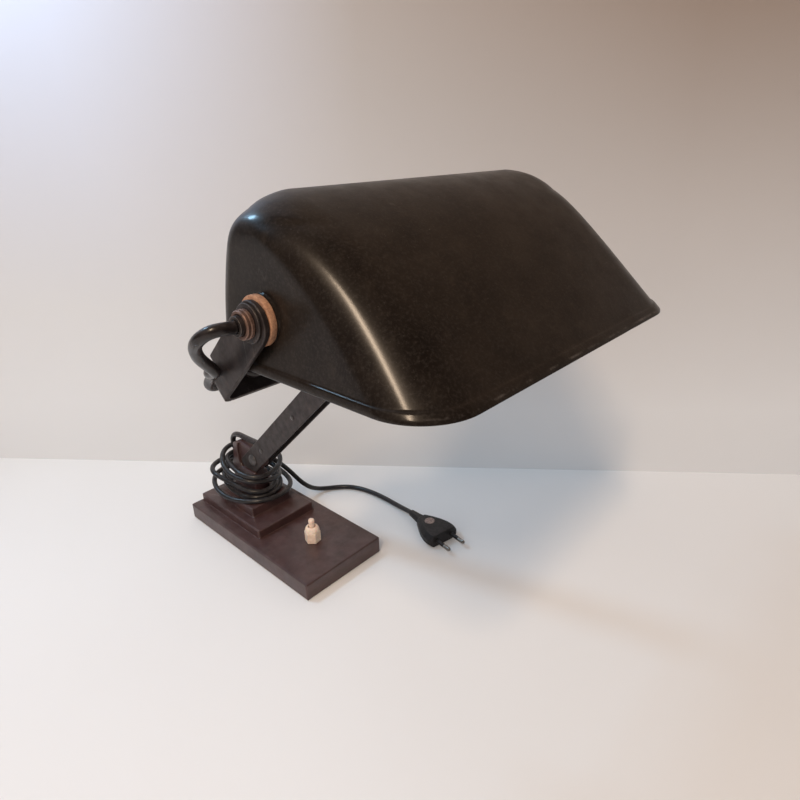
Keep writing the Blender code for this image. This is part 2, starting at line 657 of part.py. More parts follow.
def yoke_block():
    """The small block between the bars' top ends, which the crossbar is screwed to."""
    points = [arm_yz(u, w) for u, w in ((BLOCK_BOTTOM_U, BLOCK_W[0]), (BLOCK_BOTTOM_U, BLOCK_W[1]),
                                        (BAR_TOP_U, BLOCK_W[1]), (BAR_TOP_U, BLOCK_W[0]))]
    block = outline("yoke_block", points, BAR_INNER_X - GAP)
    block.data.materials.append(STEEL)
    cut(block, rod("block_rivet_hole", RIVET_RADIUS + GAP, 0.03, rotation=ALONG_X, group=cutters,
                   location=arm_point(BLOCK_RIVET_U, BLOCK_RIVET_W), steps=12))
    hole = rod("block_screw_hole", 0.0019, 0.010, group=cutters, steps=12,
               location=arm_point(BAR_TOP_U, BLOCK_RIVET_W))
    tilt = (pi / 2 - ARM_ANGLE, 0, 0)
    hole.rotation_euler = tilt
    cut(block, hole)
    screw("yoke_screw", 0.0016, 0.0072, 0.0034, 0.0018, BARE_STEEL,
          arm_point(CROSSBAR_U + STRAP_THICKNESS / 2 + GAP, BLOCK_RIVET_W), tilt)


def bezier(points, t):
    p = np.array(points)
    t = np.asarray(t)[:, None]
    return (1 - t) ** 3 * p[0] + 3 * (1 - t) ** 2 * t * p[1] + 3 * (1 - t) * t ** 2 * p[2] + t ** 3 * p[3]


def shade_level(height, inset):
    """One level outline of the shade, a rectangle with two corner radii."""
    t = np.linspace(0, 1, 80)
    front = bezier(FRONT_PROFILE, t)
    rear = bezier(REAR_PROFILE, t)
    end = bezier(END_PROFILE, t)
    near = SHADE_FRONT + np.interp(height, front[:, 1], front[:, 0]) + inset
    far = SHADE_FRONT + np.interp(height, rear[:, 1], rear[:, 0]) - inset
    side = SHADE_HALF_LENGTH - np.interp(height, end[:, 1], end[:, 0]) - inset
    depth = max(far - near, 0.00002)
    front_radius = min(FRONT_CORNER_RADIUS, depth * 0.62)
    rear_radius = min(REAR_CORNER_RADIUS, depth - front_radius)
    corners = (
        (side - rear_radius, far - rear_radius, rear_radius, 0),
        (rear_radius - side, far - rear_radius, rear_radius, 90),
        (front_radius - side, near + front_radius, front_radius, 180),
        (side - front_radius, near + front_radius, front_radius, 270),
    )
    points = []
    for x, y, radius, start in corners:
        points += arc((x, y), radius, start, start + 90, CORNER_STEPS)
    return [(x, y, SHADE_RIM_Z + height) for x, y in points]


def shade():
    rises = [SHADE_HEIGHT * sin(pi / 2 * i / (SHADE_LEVELS - 1)) for i in range(SHADE_LEVELS)]
    rows = [shade_level(0.0, 0.0), shade_level(LIP_HEIGHT, 0.0)]
    rows += [shade_level(rise, LIP_STEP) for rise in rises if rise > LIP_HEIGHT + LIP_STEP]
    shell = surface("shade_shell", rows, SHADE_BAKELITE, closed=True)
    thick = shell.modifiers.new("thickness", "SOLIDIFY")
    thick.thickness = SHADE_WALL
    thick.offset = -1.0
    thick.use_even_offset = True
    smooth(shell, 50)
    for side, sign in (("left", -1), ("right", 1)):
        boss = rod("boss_" + side, BOSS_RADIUS, BOSS_X - 0.1200, rotation=ALONG_X, group=cutters,
                   location=(sign * (BOSS_X + 0.1200) / 2, PIVOT.y, PIVOT.z), steps=28)
        cut(shell, boss, "UNION")
        cut(shell, rod("stud_hole_" + side, STUD_HOLE, 0.03, rotation=ALONG_X, group=cutters,
                       location=(sign * BOSS_X, PIVOT.y, PIVOT.z)))


def at_pivot(x):
    return Vector((x, PIVOT.y, PIVOT.z))


def pivot_stack(side, sign):
    """Fibre washer, wave washer and nut of one pivot, from the shade outwards."""
    plate_in = END_PLATE_X - STRAP_THICKNESS / 2
    plate_out = END_PLATE_X + STRAP_THICKNESS / 2
    washer = plate_in - BOSS_X - 2 * GAP
    ring("fibre_washer_" + side, WASHER_RADIUS, STUD_HOLE, washer, FIBRE,
         at_pivot(sign * (BOSS_X + GAP + washer / 2)), ALONG_X)
    ring("outer_washer_" + side, 0.0096, STUD_HOLE, 0.0010, STEEL,
         at_pivot(sign * (plate_out + GAP + 0.0005)), ALONG_X)
    nut_start = plate_out + 2 * GAP + 0.0010
    nut = ring("pivot_nut_" + side, NUT_RADIUS, STUD_RADIUS + 0.0001, 0.0040, BRASS,
               at_pivot(sign * (nut_start + 0.0020)), ALONG_X, 18)
    round_edges(nut, 0.0005, 1)


def studs():
    start = WALL_INNER_X - 0.0070
    ring("stud_left", STUD_RADIUS, STUD_BORE, STUD_END_X - start, BRASS,
         at_pivot(-(STUD_END_X + start) / 2), ALONG_X)
    hex_nut("stud_inner_nut", 0.0090, STUD_RADIUS + GAP, 0.0040, BRASS,
            at_pivot(-(WALL_INNER_X - GAP - 0.0020)), ALONG_X)
    head = 0.0085
    turned("stud_right", (
        (0, STUD_END_X), (STUD_RADIUS - 0.0008, STUD_END_X), (STUD_RADIUS, STUD_END_X - 0.0008),
        (STUD_RADIUS, WALL_INNER_X - GAP), (head, WALL_INNER_X - GAP), (head, WALL_INNER_X - 0.0040),
        (0, WALL_INNER_X - 0.0040)), BRASS, at_pivot(0), ALONG_X, 20)
    tube("stud_lead", [at_pivot(-STUD_END_X), at_pivot(-STUD_END_X + 0.012), at_pivot(-0.1130)],
         SLEEVE_RADIUS, RUBBER)


def lampholder():
    """Cap, skirt and insulator of the screw lampholder, on the hollow stud's inner end."""
    x = -0.1118
    turned("holder_cap", (
        (0.0056, 0.0), (0.0120, 0.0), (0.0160, 0.0030), (0.0178, 0.0080), (0.0178, 0.0130),
        (0.0164, 0.0130), (0.0164, 0.0085), (0.0145, 0.0045), (0.0110, 0.0020), (0.0056, 0.0020)),
           PLASTIC, at_pivot(x), ALONG_X, 24, closed=True).modifiers["turning"].use_normal_flip = True
    ring("holder_skirt", 0.0186, 0.0160, 0.0300, PLASTIC, at_pivot(x + 0.0133 + 0.0150), ALONG_X)
    ring("holder_insulator", 0.0157, 0.0030, 0.0060, PORCELAIN, at_pivot(x + 0.0140 + 0.0040), ALONG_X)
    turned("bulb_cap", (
        (0, 0.0), (0.0045, 0.0), (0.0060, 0.0025), (0.0125, 0.0045), (0.0132, 0.0080),
        (0.0132, 0.0230), (0.0124, 0.0230), (0.0124, 0.0084), (0.0118, 0.0053), (0.0052, 0.0033),
        (0, 0.0033)), BRASS, at_pivot(x + 0.0215), ALONG_X, 24).modifiers["turning"].use_normal_flip = True
    base = x + 0.0215 + 0.0233
    wall = 0.0008
    outer = [(0.0, BULB_CENTRE + BULB_RADIUS)]
    outer += [(b, BULB_CENTRE + a) for a, b in arc((0, 0), BULB_RADIUS, 10, 105, 5)]
    outer += [(0.0195, 0.0220), (0.0150, 0.0140), (0.0122, 0.0060), (0.0120, 0.0)]
    inner = [(0.0112, 0.0), (0.0114, 0.0061), (0.0143, 0.0144), (0.0189, 0.0226)]
    inner += [(b, BULB_CENTRE + a) for a, b in arc((0, 0), BULB_RADIUS - wall, 105, 10, 5)]
    inner.append((0.0, BULB_CENTRE + BULB_RADIUS - wall))
    turned("bulb_glass", outer + inner, GLASS, at_pivot(base), ALONG_X, 20)


def lamp_lead():
    """The lead from the hollow stud along the yoke and down between the bars."""
    sleeve = [Vector(point) for point in STUD_TO_YOKE_ROUTE]
    sleeve += [arm_point(u, w, x) for x, u, w in ROUND_THE_NOTCH]
    tube("lead_sleeve", smooth_route(sleeve, 0.0040), SLEEVE_RADIUS, RUBBER, 3)
    lead = [arm_point(u, w, x) for x, u, w in ALONG_THE_CROSSBAR]
    tube("arm_lead", smooth_route(lead, 0.0070), LEAD_RADIUS, RUBBER)
    tube("knuckle_lead", smooth_route(LEAD_OVER_KNUCKLE_ROUTE, 0.0060), LEAD_RADIUS, RUBBER)


def gland():
    start = STEP_3_REAR + GAP
    turned("cord_gland", (
        (0.0, 0.0), (0.0044, 0.0), (0.0044, 0.0030), (0.0038, 0.0040), (0.0028, 0.0225), (0.0, 0.0225)),
           RUBBER, (0, start, GLAND_Z), (-pi / 2, 0, 0), 16).modifiers["turning"].use_normal_flip = True


def coil(name, outer, bottom, top):
    """The outer shape of some turns of cord, wound loosely round the column."""
    edge = 0.0020
    turned(name, (
        (outer - edge, top), (outer, top - edge), (outer, bottom + edge), (outer - edge, bottom),
        (COIL_INNER, bottom), (COIL_INNER, top)), RUBBER, COIL_CENTRE, steps=32, closed=True)


def cord():
    coil("cord_coil_low", COIL_LOW_OUTER, STEP_3_TOP + GAP, COIL_LOW_TOP)
    coil("cord_coil_high", COIL_HIGH_OUTER, COIL_LOW_TOP + GAP, COIL_HIGH_TOP)
    tube("cord_lead_in", smooth_route(LEAD_IN_ROUTE, 0.0100), CORD_RADIUS, RUBBER)
    tube("cord_tail", smooth_route(LOOP_AND_TAIL_ROUTE, 0.0078), CORD_RADIUS, RUBBER)


def plug():
    """A flat two-pin plug: wide at the pins and drawn in to the cord."""
    turn = np.arctan2(PLUG_HEADING.y, PLUG_HEADING.x)
    stations = (
        (0.0, 0.0172, 1.0), (0.0040, 0.0176, 1.0), (0.0130, 0.0170, 1.0), (0.0220, 0.0150, 1.0),
        (0.0290, 0.0115, 0.95), (0.0340, 0.0078, 0.75), (PLUG_LENGTH, 0.0058, 0.65),
        (PLUG_LENGTH + 0.0060, 0.0042, 0.58), (PLUG_LENGTH + 0.0130, 0.0032, 0.46),
    )
    half = PLUG_THICKNESS / 2
    rows = []
    for back, side, thin in stations:
        height = half * thin
        corner = min(side, height) * 0.6
        row = []
        for sx, sy, start in ((1, 1, 0), (-1, 1, 90), (-1, -1, 180), (1, -1, 270)):
            row += arc((sx * (side - corner), sy * (height - corner)), corner, start, start + 90, 3)
        rows.append([(-back, y, z) for y, z in row])
    body = surface("plug_body", rows, PLASTIC, closed=True)
    work = bmesh.new()
    work.from_mesh(body.data)
    bmesh.ops.holes_fill(work, edges=work.edges)
    bmesh.ops.recalc_face_normals(work, faces=work.faces)
    work.to_mesh(body.data)
    work.free()
    body.location = PLUG_FACE
    body.rotation_euler = (0, 0, turn)
    smooth(body, 40)
    across = Vector((-PLUG_HEADING.y, PLUG_HEADING.x, 0.0))
    direction = (0, pi / 2, turn)
    for side, sign in (("left", -1), ("right", 1)):
        root = PLUG_FACE + sign * PIN_SPACING / 2 * across
        hole = rod("pin_hole_" + side, PIN_RADIUS + GAP, 0.0240, rotation=direction, group=cutters,
                   location=root, steps=12)
        cut(body, hole)
        turned("plug_pin_" + side, (
            (0, PIN_LENGTH), (0.0010, PIN_LENGTH - 0.0003), (PIN_RADIUS, PIN_LENGTH - 0.0016),
            (PIN_RADIUS, 0.0105), (0.0016, 0.0105), (0.0016, -0.0110), (0, -0.0110)),
               BARE_STEEL, root, direction, 12)
        ring("pin_sleeve_" + side, PIN_RADIUS, 0.0017, 0.0098, PLASTIC, root + 0.0053 * PLUG_HEADING,
             direction, 12)
    turned("plug_label", ((0, 0.0006), (0.0050, 0.0006), (0.0056, 0.0), (0, 0.0)), LABEL,
           PLUG_FACE - 0.0225 * PLUG_HEADING + Vector((0, 0, half + GAP)), steps=20)


ARM_NAMES = (
    "arm_bar_left", "arm_bar_right", "spacer_rivet_lower", "spacer_rivet_upper", "spacer_sleeve_lower",
    "spacer_sleeve_upper", "block_rivet", "hinge_screw", "hinge_nut", "yoke_strap", "yoke_block",
    "yoke_screw", "lead_sleeve", "arm_lead",
)
SHADE_NAMES = (
    "shade_shell", "fibre_washer_left", "fibre_washer_right", "outer_washer_left", "outer_washer_right",
    "pivot_nut_left", "pivot_nut_right", "stud_left", "stud_right", "stud_inner_nut", "stud_lead",
    "holder_cap", "holder_skirt", "holder_insulator", "bulb_cap", "bulb_glass",
)


def axis_empty(name, place, parent=None):
    empty = bpy.data.objects.new(name, None)
    empty.location = place
    lamp.objects.link(empty)
    if parent:
        empty.parent = parent
        empty.matrix_parent_inverse = parent.matrix_world.inverted()
    bpy.context.view_layer.update()
    return empty


def hang_on(empty, names):
    for name in names:
        item = lamp.objects[name]
        item.parent = empty
        item.matrix_parent_inverse = empty.matrix_world.inverted()


clear_scene()
base_moulding()
column()
base_inside()
switch()
arm_bars()
arm_fasteners()
yoke()
yoke_block()
shade()
for side_name, side_sign in (("left", -1), ("right", 1)):
    pivot_stack(side_name, side_sign)
studs()
lampholder()
lamp_lead()
gland()
cord()
plug()
arm_axis = axis_empty("arm_axis", HINGE)
shade_axis = axis_empty("shade_axis", PIVOT, arm_axis)
hang_on(arm_axis, ARM_NAMES)
hang_on(shade_axis, SHADE_NAMES)
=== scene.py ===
"""Banker desk lamp: its looks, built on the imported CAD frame.

Metres, +Z up. The origin is the centre of the base plate on the floor. +X runs along
the shade, to the right, and -Y is the front, where the shade reaches out over the desk.
"""

from math import cos, pi, radians, sin
import bmesh
import bpy
import numpy as np
from mathutils import Matrix, Vector, noise


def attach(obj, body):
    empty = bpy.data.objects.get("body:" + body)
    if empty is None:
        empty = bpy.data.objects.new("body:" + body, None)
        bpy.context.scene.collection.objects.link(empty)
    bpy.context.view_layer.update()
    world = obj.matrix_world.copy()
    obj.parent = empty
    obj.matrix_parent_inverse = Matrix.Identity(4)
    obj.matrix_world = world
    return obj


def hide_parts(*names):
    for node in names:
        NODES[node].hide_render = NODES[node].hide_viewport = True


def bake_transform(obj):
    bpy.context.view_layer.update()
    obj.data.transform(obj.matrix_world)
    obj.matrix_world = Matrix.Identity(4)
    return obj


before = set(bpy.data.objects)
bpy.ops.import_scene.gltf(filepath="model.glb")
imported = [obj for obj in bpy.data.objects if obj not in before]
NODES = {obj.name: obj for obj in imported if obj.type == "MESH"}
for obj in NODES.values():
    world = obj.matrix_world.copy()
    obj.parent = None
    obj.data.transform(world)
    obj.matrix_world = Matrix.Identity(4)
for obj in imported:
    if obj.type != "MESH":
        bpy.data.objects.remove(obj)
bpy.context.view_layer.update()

# The arm's own axes: u runs from the base hinge to the shade's pivot, w is square to it.
HINGE = Vector((0.0, 0.0251, 0.0795))
PIVOT = Vector((0.0, -0.1972, 0.2883))
ARM_ANGLE = radians(43.2)

# Shade: level outlines from a front, a rear and an end profile, each one Bezier.
SHADE_HALF_LENGTH = 0.1263
SHADE_FRONT = -0.3043
SHADE_RIM_Z = 0.2604
SHADE_HEIGHT = 0.0841
FRONT_PROFILE = ((0.0, 0.0), (0.0275, 0.0290), (0.0800, 0.0841), (0.1169, 0.0841))
REAR_PROFILE = ((0.1483, 0.0), (0.1635, 0.0453), (0.1248, 0.0841), (0.1169, 0.0841))
END_PROFILE = ((0.0, 0.0), (0.0141, 0.0725), (-0.0133, 0.0663), (0.0228, 0.0841))
FRONT_CORNER_RADIUS = 0.0316
REAR_CORNER_RADIUS = 0.0141
CREST_START = 0.0790
CREST_REACH = 0.0110
CREST_GAP = 0.00003  # how far below the crest the last ring lies, with one face over it
SHADE_WALL = 0.0026
LIP_HEIGHT = 0.0048
LIP_STEP = 0.0009
CORNER_POINTS = 19
SIDE_STEPS = (24, 12, 24, 12)  # rear, left, front and right

# Chips in the front of the lip: the depth of a full one, and the stretch of X that has most.
CHIP_DEPTH = 0.0005
CHIPPED_FROM, CHIPPED_TO = -0.02, 0.06
ELSEWHERE = 0.12

# Places along X of each pivot's pieces.
BOSS_X = 0.1200
FIBRE_X = 0.12465
WASHER_X = 0.1305
NUT_X = 0.1313
STUD_END_X = 0.1375
STUD_HOLE_RADIUS = 0.0053

CORD_RADIUS = 0.0025
LEAD_RADIUS = 0.0028
SLEEVE_RADIUS = 0.0032
GLAND = Vector((0.0, 0.0731, 0.0313))
PLUG_FACE = Vector((0.0958, -0.1347, 0.0070))
PLUG_HEADING = Vector((-0.185, -0.983, 0.0)).normalized()
SWITCH_Y = -0.0510
SWITCH_NUT_TOP = 0.0290

CAMERA_PLACE = Vector((-0.2742, -0.4281, 0.3636))
CAMERA_AZIMUTH = radians(-46.73)
CAMERA_ELEVATION = radians(23.84)
CAMERA_ROLL = radians(-1.517)
CAMERA_LENS = 26.27

# The CAD's meshes: how near points are welded, which edges stay sharp, which aren't rounded.
CAD_WELD = 0.000004
SHARP_ANGLE = radians(38)
SHORT_EDGE = 0.0024
BUILT_WELD = 0.000002

# The mains cord: out of the base at the back, round the column five times, then to the plug.
MAINS_ROUTE = (
    (0.0000, 0.0956, 0.0313), (0.0000, 0.1000, 0.0313), (0.0012, 0.1060, 0.0315),
    (0.0050, 0.1125, 0.0319), (0.0125, 0.1180, 0.0326), (0.0220, 0.1195, 0.0336),
    (0.0310, 0.1155, 0.0352), (0.0370, 0.1075, 0.0366), (0.0396, 0.0980, 0.0378),
    (0.0403, 0.0880, 0.0386), (0.0403, 0.0760, 0.0390), (0.0400, 0.0620, 0.0390),
    (0.0382, 0.0470, 0.0390), (0.0356, 0.0325, 0.0390), (0.0304, 0.0195, 0.0389),
    (0.0201, 0.0110, 0.0388), (0.0061, 0.0082, 0.0388), (-0.0088, 0.0126, 0.0388),
    (-0.0204, 0.0226, 0.0388), (-0.0276, 0.0358, 0.0390), (-0.0312, 0.0489, 0.0404),
    (-0.0315, 0.0605, 0.0435), (-0.0280, 0.0715, 0.0470), (-0.0190, 0.0800, 0.0495),
    (-0.0050, 0.0835, 0.0490), (0.0090, 0.0815, 0.0465), (0.0220, 0.0745, 0.0435),
    (0.0300, 0.0620, 0.0413), (0.0315, 0.0490, 0.0398), (0.0285, 0.0360, 0.0389),
    (0.0205, 0.0245, 0.0388), (0.0085, 0.0176, 0.0388), (-0.0035, 0.0184, 0.0388),
    (-0.0144, 0.0260, 0.0389), (-0.0186, 0.0395, 0.0396), (-0.0203, 0.0520, 0.0420),
    (-0.0188, 0.0655, 0.0465), (-0.0115, 0.0760, 0.0515), (0.0010, 0.0790, 0.0535),
    (0.0135, 0.0745, 0.0520), (0.0215, 0.0640, 0.0490), (0.0245, 0.0520, 0.0462),
    (0.0226, 0.0385, 0.0444), (0.0158, 0.0255, 0.0440), (0.0045, 0.0184, 0.0442),
    (-0.0082, 0.0193, 0.0452), (-0.0162, 0.0295, 0.0472), (-0.0206, 0.0420, 0.0506),
    (-0.0255, 0.0555, 0.0550), (-0.0287, 0.0665, 0.0580), (-0.0255, 0.0765, 0.0598),
    (-0.0155, 0.0825, 0.0603), (-0.0030, 0.0835, 0.0603), (0.0105, 0.0795, 0.0596),
    (0.0208, 0.0710, 0.0578), (0.0270, 0.0600, 0.0548), (0.0286, 0.0480, 0.0516),
    (0.0278, 0.0365, 0.0492), (0.0223, 0.0260, 0.0500), (0.0110, 0.0197, 0.0525),
    (-0.0018, 0.0185, 0.0554), (-0.0140, 0.0246, 0.0580), (-0.0196, 0.0370, 0.0602),
    (-0.0224, 0.0485, 0.0630), (-0.0210, 0.0600, 0.0684), (-0.0152, 0.0696, 0.0732),
    (-0.0063, 0.0752, 0.0764), (0.0045, 0.0752, 0.0770), (0.0160, 0.0695, 0.0758),
    (0.0255, 0.0595, 0.0735), (0.0308, 0.0468, 0.0705), (0.0304, 0.0340, 0.0668),
    (0.0234, 0.0244, 0.0638), (0.0130, 0.0188, 0.0626), (0.0020, 0.0166, 0.0622),
    (-0.0086, 0.0186, 0.0625), (-0.0154, 0.0275, 0.0639), (-0.0180, 0.0390, 0.0660),
    (-0.0168, 0.0525, 0.0690), (-0.0134, 0.0652, 0.0706), (-0.0022, 0.0718, 0.0706),
    (0.0100, 0.0698, 0.0694), (0.0190, 0.0610, 0.0666), (0.0252, 0.0518, 0.0626),
    (0.0306, 0.0446, 0.0564), (0.0380, 0.0428, 0.0475), (0.0450, 0.0402, 0.0377),
    (0.0502, 0.0354, 0.0280), (0.0566, 0.0316, 0.0186), (0.0655, 0.0299, 0.0104),
    (0.0760, 0.0290, 0.0049), (0.0860, 0.0245, 0.0029), (0.0955, 0.0170, 0.0029),
    (0.1030, 0.0080, 0.0029), (0.1082, -0.0050, 0.0029), (0.1108, -0.0200, 0.0029),
    (0.1115, -0.0350, 0.0029), (0.1110, -0.0480, 0.0029), (0.1100, -0.0610, 0.0033),
    (0.1080, -0.0730, 0.0050), (0.1058, -0.0845, 0.0068),
)
KNUCKLE_ROUTE = (
    (0.0, 0.0165, 0.0985), (0.0, 0.0300, 0.0960), (0.0, 0.0460, 0.0953), (0.0, 0.0580, 0.0948),
    (0.0, 0.0665, 0.0915), (0.0, 0.0705, 0.0840), (0.0, 0.0685, 0.0760), (0.0, 0.0645, 0.0725),
    (0.0, 0.0610, 0.0722),
)
STUD_ROUTE = (
    (-0.1379, -0.1972, 0.2883), (-0.1405, -0.1972, 0.2883),
    (-0.1450, -0.1985, 0.2891), (-0.1500, -0.1966, 0.2886), (-0.1527, -0.1903, 0.2844),
    (-0.1512, -0.1829, 0.2787), (-0.1470, -0.1766, 0.2716), (-0.1405, -0.1710, 0.2646),
)
# The lead's places along the yoke and the arm, as x, u and w.
NOTCH_ROUTE = (
    (-0.1345, 0.2630, -0.0018), (-0.1341, 0.2562, 0.0014), (-0.1320, 0.2516, 0.0030),
    (-0.1288, 0.2474, 0.0043), (-0.1258, 0.2425, 0.0050), (-0.1240, 0.2350, 0.0063),
    (-0.1230, 0.2278, 0.0067), (-0.1205, 0.2232, 0.0062), (-0.1168, 0.2232, 0.0054),
    (-0.1143, 0.2295, 0.0048), (-0.1130, 0.2380, 0.0044), (-0.1116, 0.2458, 0.0038),
    (-0.1100, 0.2487, -0.0008), (-0.1078, 0.2485, -0.0029), (-0.1050, 0.2484, -0.0030),
)
CROSSBAR_ROUTE = (
    (-0.1045, 0.2482, -0.0031), (-0.1000, 0.2481, -0.0033), (-0.0800, 0.2478, -0.0033),
    (-0.0600, 0.2478, -0.0033), (-0.0380, 0.2478, -0.0031), (-0.0230, 0.2479, -0.0010),
    (-0.0110, 0.2478, 0.0030), (-0.0030, 0.2445, 0.0056), (0.0, 0.2385, 0.0062),
    (0.0, 0.2300, 0.0062), (0.0, 0.1500, 0.0062), (0.0, 0.0600, 0.0062),
)


def arm_point(x, u, w):
    along = Vector((0.0, -cos(ARM_ANGLE), sin(ARM_ANGLE)))
    across = Vector((0.0, sin(ARM_ANGLE), cos(ARM_ANGLE)))
    return HINGE + u * along + w * across + Vector((x, 0.0, 0.0))


def at_pivot(x):
    return Vector((x, PIVOT.y, PIVOT.z))


def camera():
    level = Vector((sin(CAMERA_AZIMUTH), -cos(CAMERA_AZIMUTH), 0.0))
    back = cos(CAMERA_ELEVATION) * level + Vector((0.0, 0.0, sin(CAMERA_ELEVATION)))
    right = Vector((cos(CAMERA_AZIMUTH), sin(CAMERA_AZIMUTH), 0.0))
    up = back.cross(right)
    turned_right = cos(CAMERA_ROLL) * right + sin(CAMERA_ROLL) * up
    turned_up = cos(CAMERA_ROLL) * up - sin(CAMERA_ROLL) * right
    data = bpy.data.cameras.new("camera")
    data.lens = CAMERA_LENS
    data.sensor_width = 36.0
    data.clip_start = 0.01
    item = bpy.data.objects.new("camera", data)
    axes = Matrix((turned_right, turned_up, back)).transposed().to_4x4()
    item.matrix_world = Matrix.Translation(CAMERA_PLACE) @ axes
    bpy.context.scene.collection.objects.link(item)
    bpy.context.scene.camera = item


def add_node(tree, kind, inputs, output=0, **settings):
    """Adds a node, links or sets its inputs, and returns one of its outputs."""
    node = tree.nodes.new(kind)
    for name, value in settings.items():
        setattr(node, name, value)
    for name, value in inputs.items():
        if isinstance(value, bpy.types.NodeSocket):
            tree.links.new(value, node.inputs[name])
        else:
            node.inputs[name].default_value = value
    return node.outputs[output]


class Finish:
    """One procedural material, drawn in the CAD's frame, so its sizes are in metres."""

    def __init__(self, name, metallic=0.0, **constants):
        self.material = bpy.data.materials.new(name)
        self.material.use_nodes = True
        self.tree = self.material.node_tree
        self.shader = self.tree.nodes["Principled BSDF"]
        self.shader.inputs["Metallic"].default_value = metallic
        for socket, value in constants.items():
            self.shader.inputs[socket.replace("_", " ")].default_value = value
        self.place = self.add("TexCoord", {}, "Object")

    def add(self, kind, inputs, output=0, **settings):
        return add_node(self.tree, "ShaderNode" + kind, inputs, output, **settings)

    def grain(self, size, detail=3.0, rough=0.55, stretch=None, turn=(0, 0, 0)):
        """Noise from 0 to 1 whose blotches are about that size."""
        place = self.place
        if stretch:
            place = self.add("Mapping", {"Vector": place, "Scale": stretch, "Rotation": turn})
        inputs = {"Vector": place, "Scale": 1 / size, "Detail": detail, "Roughness": rough}
        return self.add("TexNoise", inputs, "Fac")

    def span(self, value, low, high, to_low=0.0, to_high=1.0):
        inputs = {"Value": value, "From Min": low, "From Max": high,
                  "To Min": to_low, "To Max": to_high}
        return self.add("MapRange", inputs, "Result")

    def maths(self, kind, first, second):
        return self.add("Math", {0: first, 1: second}, operation=kind, use_clamp=kind == "ADD")

    def mix(self, amount, first, second):
        inputs = {0: amount, 6: first, 7: second}
        for key in (6, 7):
            if isinstance(inputs[key], tuple):
                inputs[key] = (*inputs[key], 1.0)
        return self.add("Mix", inputs, 2, data_type="RGBA")

    def scratches(self, size, width, turn, seldom=0.56):
        """Fine lines in one direction, where a coarser noise lets them show."""
        lines = self.grain(size, 2.0, 0.5, (1.0, 1.0, 0.06), turn)
        near = self.maths("ABSOLUTE", self.maths("SUBTRACT", lines, 0.5), 0.0)
        where = self.span(self.grain(size * 4, 1.0, 0.5), seldom, seldom + 0.06)
        return self.maths("MULTIPLY", self.span(near, width, 0.0), where)

    def edges(self, radius, low=0.02, high=0.25):
        """1 along outer and inner edges, from the bend of the surface within that radius."""
        soft = self.add("Bevel", {"Radius": radius}, samples=4)
        flat = self.add("NewGeometry", {}, "Normal")
        same = self.add("VectorMath", {0: soft, 1: flat}, "Value", operation="DOT_PRODUCT")
        return self.span(self.maths("SUBTRACT", 1.0, same), low, high)

    def upward(self):
        """1 on faces that look up, 0 on upright ones and undersides."""
        normal = self.add("TexCoord", {}, "Normal")
        height = self.add("SeparateXYZ", {"Vector": normal}, "Z")
        return self.span(height, 0.15, 0.95)

    def finish(self, colour, roughness, *bumps, ease=0.0):
        """Joins up the colour, the roughness, any bumps of (height, strength, depth), and
        the radius that edges are eased to."""
        self.tree.links.new(colour, self.shader.inputs["Base Color"])
        self.tree.links.new(roughness, self.shader.inputs["Roughness"])
        normal = self.add("Bevel", {"Radius": ease}, samples=6) if ease else None
        for height, strength, depth in bumps:
            inputs = {"Height": height, "Strength": strength, "Distance": depth}
            if normal:
                inputs["Normal"] = normal
            normal = self.add("Bump", inputs)
        if normal:
            self.tree.links.new(normal, self.shader.inputs["Normal"])
        return self.material


def shade_bakelite():
    """Dark phenolic with a greenish-brown cast, dust, fine scratches and a rubbed lip."""
    look = Finish("shade_bakelite", Specular_IOR_Level=0.10, Coat_Weight=0.27, Coat_Roughness=0.17)
    clouds = look.span(look.grain(0.030, 4.0, 0.6), 0.36, 0.66)
    colour = look.mix(clouds, (0.0080, 0.0054, 0.0040), (0.0150, 0.0105, 0.0076))
    stains = look.span(look.grain(0.011, 5.0, 0.65), 0.55, 0.72)
    colour = look.mix(look.maths("MULTIPLY", stains, 0.55), colour, (0.0250, 0.0180, 0.0130))
    mottle = look.span(look.grain(0.0015, 3.0, 0.7), 0.48, 0.70, 0.0, 0.45)
    colour = look.mix(mottle, colour, (0.0360, 0.0290, 0.0240))
    specks = look.span(look.grain(0.0009, 1.0, 0.5), 0.72, 0.80)
    film = look.span(look.grain(0.020, 3.0, 0.6), 0.35, 0.70)
    dust = look.maths("MULTIPLY", look.maths("MULTIPLY", specks, film), look.upward())
    colour = look.mix(look.maths("MULTIPLY", dust, 0.5), colour, (0.16, 0.14, 0.12))
    marks = look.maths("ADD", look.scratches(0.020, 0.0022, (0.4, 0.9, 0.2)),
                       look.scratches(0.028, 0.0018, (1.2, -0.5, 0.7)))
    colour = look.mix(look.maths("MULTIPLY", marks, 0.12), colour, (0.15, 0.13, 0.11))
    height = look.add("SeparateXYZ", {"Vector": look.place}, "Z")
    low = look.span(height, SHADE_RIM_Z + LIP_HEIGHT + 0.0020, SHADE_RIM_Z + LIP_HEIGHT - 0.0003)
    worn = look.maths("MULTIPLY", look.edges(0.0010, 0.015, 0.14), low)
    worn = look.maths("MULTIPLY", worn, look.span(look.grain(0.013, 4.0, 0.7), 0.47, 0.66))
    colour = look.mix(worn, colour, (0.085, 0.070, 0.062))
    fine = look.grain(0.0016, 3.0, 0.6)
    roughness = look.span(look.grain(0.018, 4.0, 0.6), 0.3, 0.7, 0.30, 0.44)
    roughness = look.maths("ADD", roughness, look.maths("MULTIPLY", worn, 0.15))
    return look.finish(colour, roughness, (look.grain(0.022, 2.0), 0.25, 0.0006),
                       (fine, 0.10, 0.00012), (marks, -0.15, 0.0001))


